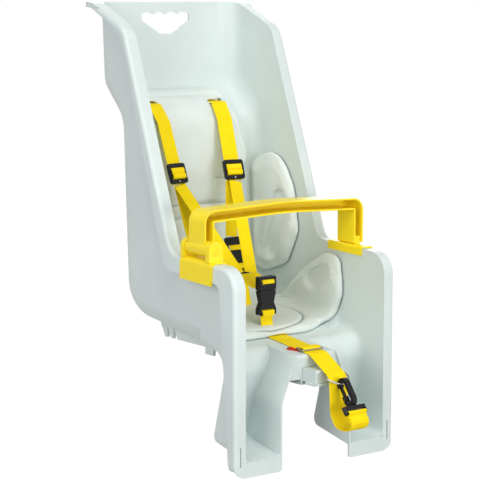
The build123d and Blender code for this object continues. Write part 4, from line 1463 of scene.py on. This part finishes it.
@dataclass
class Liner:
    """A moulded soft pad: its CAD solid remeshed, eased, puffed as cloth and pressed with its seams."""

    node: str
    presses: tuple[Press, ...]
    wrap: CornerWrap | None = None
    slit: Slit | None = None
    voxel: float = 0.0036
    ease: float = 0.5
    ease_rounds: int = 7
    pressure: float = 4.0
    frames: int = 20
    swell: float = 0.0028
    heart: Point = (0.0, -0.06, 0.2)
    heart_rise: float = 0.4
    sharpness: float = 2.0

    def build(self, nodes: dict[str, bpy.types.Object], wardrobe: Wardrobe) -> bpy.types.Object:
        """Build the pad.

        Args:
            nodes: The CAD nodes by name.
            wardrobe: The finishes.

        Returns:
            The pad that stands for its node.
        """
        piece = new_piece(f"{self.node}_liner", *merged(nodes[self.node]))
        apply_modifier(piece, "REMESH", mode="VOXEL", voxel_size=self.voxel)
        if self.wrap:
            move_points(piece.data, self.wrap.moved(read_points(piece.data)[0]))
            apply_modifier(piece, "REMESH", mode="VOXEL", voxel_size=self.voxel)
        apply_modifier(piece, "SMOOTH", factor=self.ease, iterations=self.ease_rounds)
        self.puff(piece)
        if self.slit:
            move_points(piece.data, self.slit.moved(read_points(piece.data)[0]))
        apply_modifier(piece, "SUBSURF", levels=1, render_levels=1)
        self.press(piece)
        smooth(piece, PAD_CREASE)
        return wardrobe.dress(piece, Slot.PAD, Body.SEAT, self.node)

    def openness(self, points: np.ndarray, normals: np.ndarray) -> np.ndarray:
        """Weigh the points from 0, where the normal looks at the shell, to 1, where it looks at the child.

        The weight is the cosine between the normal and the way to the child's heart, flattened in height,
        times the sharpness and held from 0 to 1.

        Args:
            points: The pad's points, n by 3.
            normals: Their normals, n by 3.

        Returns:
            One weight for each point.
        """
        inward = np.array(self.heart) - points
        inward[:, 2] *= self.heart_rise
        inward /= np.linalg.norm(inward, axis=1, keepdims=True)
        return np.clip((normals * inward).sum(axis=1) * self.sharpness, 0.0, 1.0)

    def puff(self, piece: bpy.types.Object) -> None:
        """Blow the pad up as cloth and keep the swelling on its open side, up to a cap.

        A point moves by the simulation's shift, cut to the cap, times its openness.

        Args:
            piece: The pad.
        """
        rest, normals = read_points(piece.data)
        cloth = piece.modifiers.new("puff", "CLOTH")
        cloth.settings.use_pressure = True
        cloth.settings.uniform_pressure_force = self.pressure
        cloth.settings.effector_weights.gravity = 0.0
        scene = bpy.context.scene
        for frame in range(1, self.frames + 1):
            scene.frame_set(frame)
        blown, _ = read_points(piece.evaluated_get(bpy.context.evaluated_depsgraph_get()).data)
        piece.modifiers.remove(cloth)
        scene.frame_set(1)
        shift = blown - rest
        size = np.maximum(np.linalg.norm(shift, axis=1, keepdims=True), TINY)
        held = shift * np.minimum(1.0, self.swell / size) * self.openness(rest, normals)[:, None]
        move_points(piece.data, rest + held)

    def press(self, piece: bpy.types.Object) -> None:
        """Push the seams and hollows in along the normals, and keep the darkness of the thread and of the
        painted shade at the wall as an attribute.

        Args:
            piece: The pad.
        """
        mesh = piece.data
        points, normals = read_points(mesh)
        open_side = self.openness(points, normals)
        deep, dark = np.zeros((2, len(points)))
        for press in self.presses:
            # For a seam the thread is its dark thread; for the edge by the wall it is painted shade
            more, thread = press.depth(points)
            deep += more * open_side
            dark = np.maximum(dark, thread if press.all_round else thread * open_side)
        mesh.attributes.new(THREAD_AND_SHADE, "FLOAT", "POINT").data.foreach_set("value", dark.astype(np.float32))
        move_points(mesh, points - normals * deep[:, None])


@dataclass
class LatchSpring:
    """The coil spring that pushes the rack latch forward."""

    coil_radius: float = 0.0043
    wire_radius: float = 0.0006
    turns: float = 7.0
    pressed: float = 0.6
    coil_points: int = 140
    wire_points: int = 10

    def build(self, wardrobe: Wardrobe) -> None:
        """Build the coil: a circle of wire carried round a helix along Y.

        A point is the helix + r cos(b) * spoke + r sin(b) * Y, with the spoke from the coil's axis, r the
        wire's radius and b an angle round the wire.

        Args:
            wardrobe: The finishes.
        """
        low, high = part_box("latch_spring")
        east, height = (low[0] + high[0]) / 2, (low[2] + high[2]) / 2
        share = np.linspace(0.0, 1.0, self.coil_points)
        angle = 2 * math.pi * self.turns * share
        ring = np.linspace(0.0, 2 * math.pi, self.wire_points, endpoint=False)[None, :, None]
        spoke = np.stack([np.cos(angle), np.zeros_like(angle), np.sin(angle)], axis=1)
        along = high[1] - self.wire_radius - share * (high[1] - low[1] - 2 * self.wire_radius)
        axis = np.stack([np.full_like(share, east), along, np.full_like(share, height)], axis=1)
        helix = (spoke * self.coil_radius + axis)[:, None]
        points = (helix + self.wire_radius * np.cos(ring) * spoke[:, None]
                  + self.wire_radius * np.sin(ring) * np.array([0.0, 1.0, 0.0]))
        faces = tube_faces(self.coil_points, self.wire_points)
        piece = new_piece("latch_spring_coil", points.reshape(-1, 3), faces)
        face_outwards(piece)
        smooth(piece, COIL_CREASE)
        wardrobe.dress(piece, Slot.STEEL, Body.SEAT, "latch_spring")
        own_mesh(piece)


def aimed(place: Point, target: Point) -> Euler:
    """Return the turn of a camera or lamp at a place that looks at a target."""
    return (Vector(target) - Vector(place)).to_track_quat("-Z", "Y").to_euler()


@dataclass(frozen=True)
class Softbox:
    """A square soft lamp that looks at the seat."""

    name: str
    place: Point
    size: float
    power: float
    target: Point = (0.0, 0.0, 0.2)

    def build(self) -> None:
        """Hang the lamp."""
        light = bpy.data.lights.new(self.name, "AREA")
        light.energy = self.power
        light.size = self.size
        lamp = bpy.data.objects.new(self.name, light)
        lamp.location = self.place
        lamp.rotation_euler = aimed(self.place, self.target)
        bpy.context.scene.collection.objects.link(lamp)


@dataclass
class Studio:
    """The camera of the photograph, a pale floor and soft light."""

    camera_place: Point = (-1.8234, -2.3944, 0.5827)
    target: Point = (-0.16272, -0.19052, 0.20703)
    lens: float = 132.37
    sensor: float = 36.0
    far: float = 50.0
    softboxes: tuple[Softbox, ...] = (
        Softbox("key_softbox", (-0.45, -1.35, 2.7), 1.8, 38.0),
        Softbox("fill_softbox", (-2.6, -1.1, 0.9), 1.6, 36.0),
        Softbox("back_softbox", (1.7, 2.3, 1.3), 1.8, 34.0),
        Softbox("front_softbox", (0.4, -2.8, 0.0), 1.2, 46.0),
    )
    world_light: float = 0.30
    world_seen: float = 1.0
    floor_reach: float = 14.0
    floor_gap: float = 0.0005
    floor_tone: float = 0.4
    floor_roughness: float = 0.9
    floor_glow: float = 1.075
    floor_share: float = 0.92

    def build(self) -> None:
        """Set the camera, the lamps, the world and the floor."""
        scene = bpy.context.scene
        scene.view_settings.view_transform = "Standard"
        eye = bpy.data.cameras.new("photo_camera")
        eye.lens = self.lens
        eye.sensor_width = self.sensor
        eye.clip_end = self.far
        camera = bpy.data.objects.new("photo_camera", eye)
        camera.location = self.camera_place
        camera.rotation_euler = aimed(self.camera_place, self.target)
        scene.collection.objects.link(camera)
        scene.camera = camera
        for softbox in self.softboxes:
            softbox.build()
        self.world()
        self.floor()

    def seen(self, tree: bpy.types.NodeTree) -> bpy.types.NodeSocket:
        """Tell the rays that see a surface from those that light the seat.

        Args:
            tree: The node tree that gets the nodes.

        Returns:
            1 for rays from the camera, off gloss and through clear parts, and 0 for the rest.
        """
        rays = tree.nodes.new("ShaderNodeLightPath")
        total = rays.outputs["Is Camera Ray"]
        for kind in ("Is Glossy Ray", "Is Transmission Ray"):
            more = tree.nodes.new("ShaderNodeMath")
            more.operation = "MAXIMUM"
            tree.links.new(total, more.inputs[0])
            tree.links.new(rays.outputs[kind], more.inputs[1])
            total = more.outputs[0]
        return total

    def world(self) -> None:
        """Light the world evenly, and show it white to the camera and in reflections."""
        world = bpy.data.worlds.new("studio_world")
        bpy.context.scene.world = world
        world.use_nodes = True
        tree = world.node_tree
        tree.nodes.clear()
        choose = tree.nodes.new("ShaderNodeMixShader")
        tree.links.new(self.seen(tree), choose.inputs[0])
        for socket, strength in ((1, self.world_light), (2, self.world_seen)):
            sky = tree.nodes.new("ShaderNodeBackground")
            sky.inputs["Color"].default_value = WHITE
            sky.inputs["Strength"].default_value = strength
            tree.links.new(sky.outputs[0], choose.inputs[socket])
        out = tree.nodes.new("ShaderNodeOutputWorld")
        tree.links.new(choose.outputs[0], out.inputs[0])

    def floor(self) -> None:
        """Lay a pale floor under the feet of the seat, which glows to the camera and takes its shadow."""
        low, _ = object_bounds()
        height = float(low[2]) - self.floor_gap
        plan = np.array([[-1.0, -1.0], [1.0, -1.0], [1.0, 1.0], [-1.0, 1.0]]) * self.floor_reach
        floor = new_piece("studio_floor", np.column_stack([plan, np.full(4, height)]), [[0, 1, 2, 3]])
        graph = Graph("studio_floor")
        graph.set(Base_Color=(*[self.floor_tone] * 3, 1.0), Roughness=self.floor_roughness)
        glow = graph.node("ShaderNodeEmission", {"Color": WHITE, "Strength": self.floor_glow})
        share = graph.math("MULTIPLY", self.seen(graph.tree), self.floor_share)
        both = graph.node("ShaderNodeMixShader", {0: share, 1: graph.shader.outputs[0], 2: glow.outputs[0]})
        graph.tree.links.new(both.outputs[0], graph.tree.nodes["Material Output"].inputs[0])
        floor.data.materials.append(graph.material)
        floor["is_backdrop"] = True


MOULDINGS: list[Moulding] = [
    Moulding("shell", Slot.SHELL, edge=0.0012),
    Moulding("rack_latch", Slot.SHELL, Body.LATCH),
    Moulding("latch_cover", Slot.SHELL),
    Moulding("hinge_bracket", Slot.YELLOW, edge=0.0013),
    Moulding("catch_bracket", Slot.YELLOW, edge=0.0013),
    Moulding("grab_bar", Slot.YELLOW, Body.BAR, edge=0.0014),
    Moulding("hinge_pin", Slot.YELLOW),
    Moulding("buckle_tongue", Slot.BLACK),
    Moulding("buckle_socket", Slot.BLACK),
    Moulding("crotch_keeper", Slot.BLACK),
    Moulding("hook_body", Slot.BLACK, Body.HOOK),
    Moulding("gate_pin", Slot.STEEL, Body.HOOK, edge=0.0),
    Moulding("hook_gate", Slot.BLACK, Body.GATE),
    Moulding("hook_base", Slot.BLACK),
    Moulding("strap_slider", Slot.STEEL, edge=0.0010),
    Moulding("d_ring", Slot.STEEL, edge=0.0),
    Moulding("pull_tab", Slot.RED, edge=0.0003),
] + [
    Moulding(f"{side}_{part}", Slot.BLACK)
    for _, side in SIDES
    for part in ("adjuster", "strap_keeper", "hip_plate")
]

BACK_OUTLINE: tuple[Flat, ...] = (
    (0.0, 0.424), (0.090, 0.424), (0.128, 0.300), (0.096, 0.232), (0.096, 0.084), (0.0, 0.084))

SIDE_PRESSES: tuple[Press, ...] = (
    Hollow((0.086, 0.222), (0.110, 0.134), radius=0.021, deep=0.0080, gathers=9),
    # Painted shade where the pad meets the wall
    PaintedGapShade(),
)

LINERS: list[Liner] = [
    Liner("back_pad", (
        Border(BACK_OUTLINE, inset=0.0110, deep=0.0024, wide=0.0042, dark=0.12),
        Channel(0.2195, span=0.094, deep=0.0034, wide=0.0042),
        Channel(0.196, span=0.094, deep=0.0026, wide=0.0038),
        Channel(0.150, span=0.090, deep=0.0022, wide=0.0038),
    ), slit=Slit()),
    Liner("right_side_pad", SIDE_PRESSES, wrap=CornerWrap()),
    Liner("left_side_pad", SIDE_PRESSES, wrap=CornerWrap()),
    Liner("seat_pad", (
        OvalSeam((0.0, 0.014), half=(0.112, 0.086), deep=0.0034, wide=0.0036),
        Hollow((-0.038, 0.106), (-0.006, 0.092), radius=0.020, deep=0.0078, gathers=14, gather_deep=0.0006),
        # Painted shade where the pad meets the wall
        PaintedGapShade(),
    )),
]


def main() -> None:
    """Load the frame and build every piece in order."""
    logging.basicConfig(level=logging.INFO, format="%(name)s: %(message)s")
    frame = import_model()
    Studio().build()
    wardrobe = Wardrobe()
    for moulding in MOULDINGS:
        moulding.build(frame["nodes"], wardrobe)
    for liner in LINERS:
        liner.build(frame["nodes"], wardrobe)
    Harness().build(wardrobe)
    SafetyStrap().build(wardrobe)
    LatchSpring().build(wardrobe)


if __name__ == "__main__":
    main()
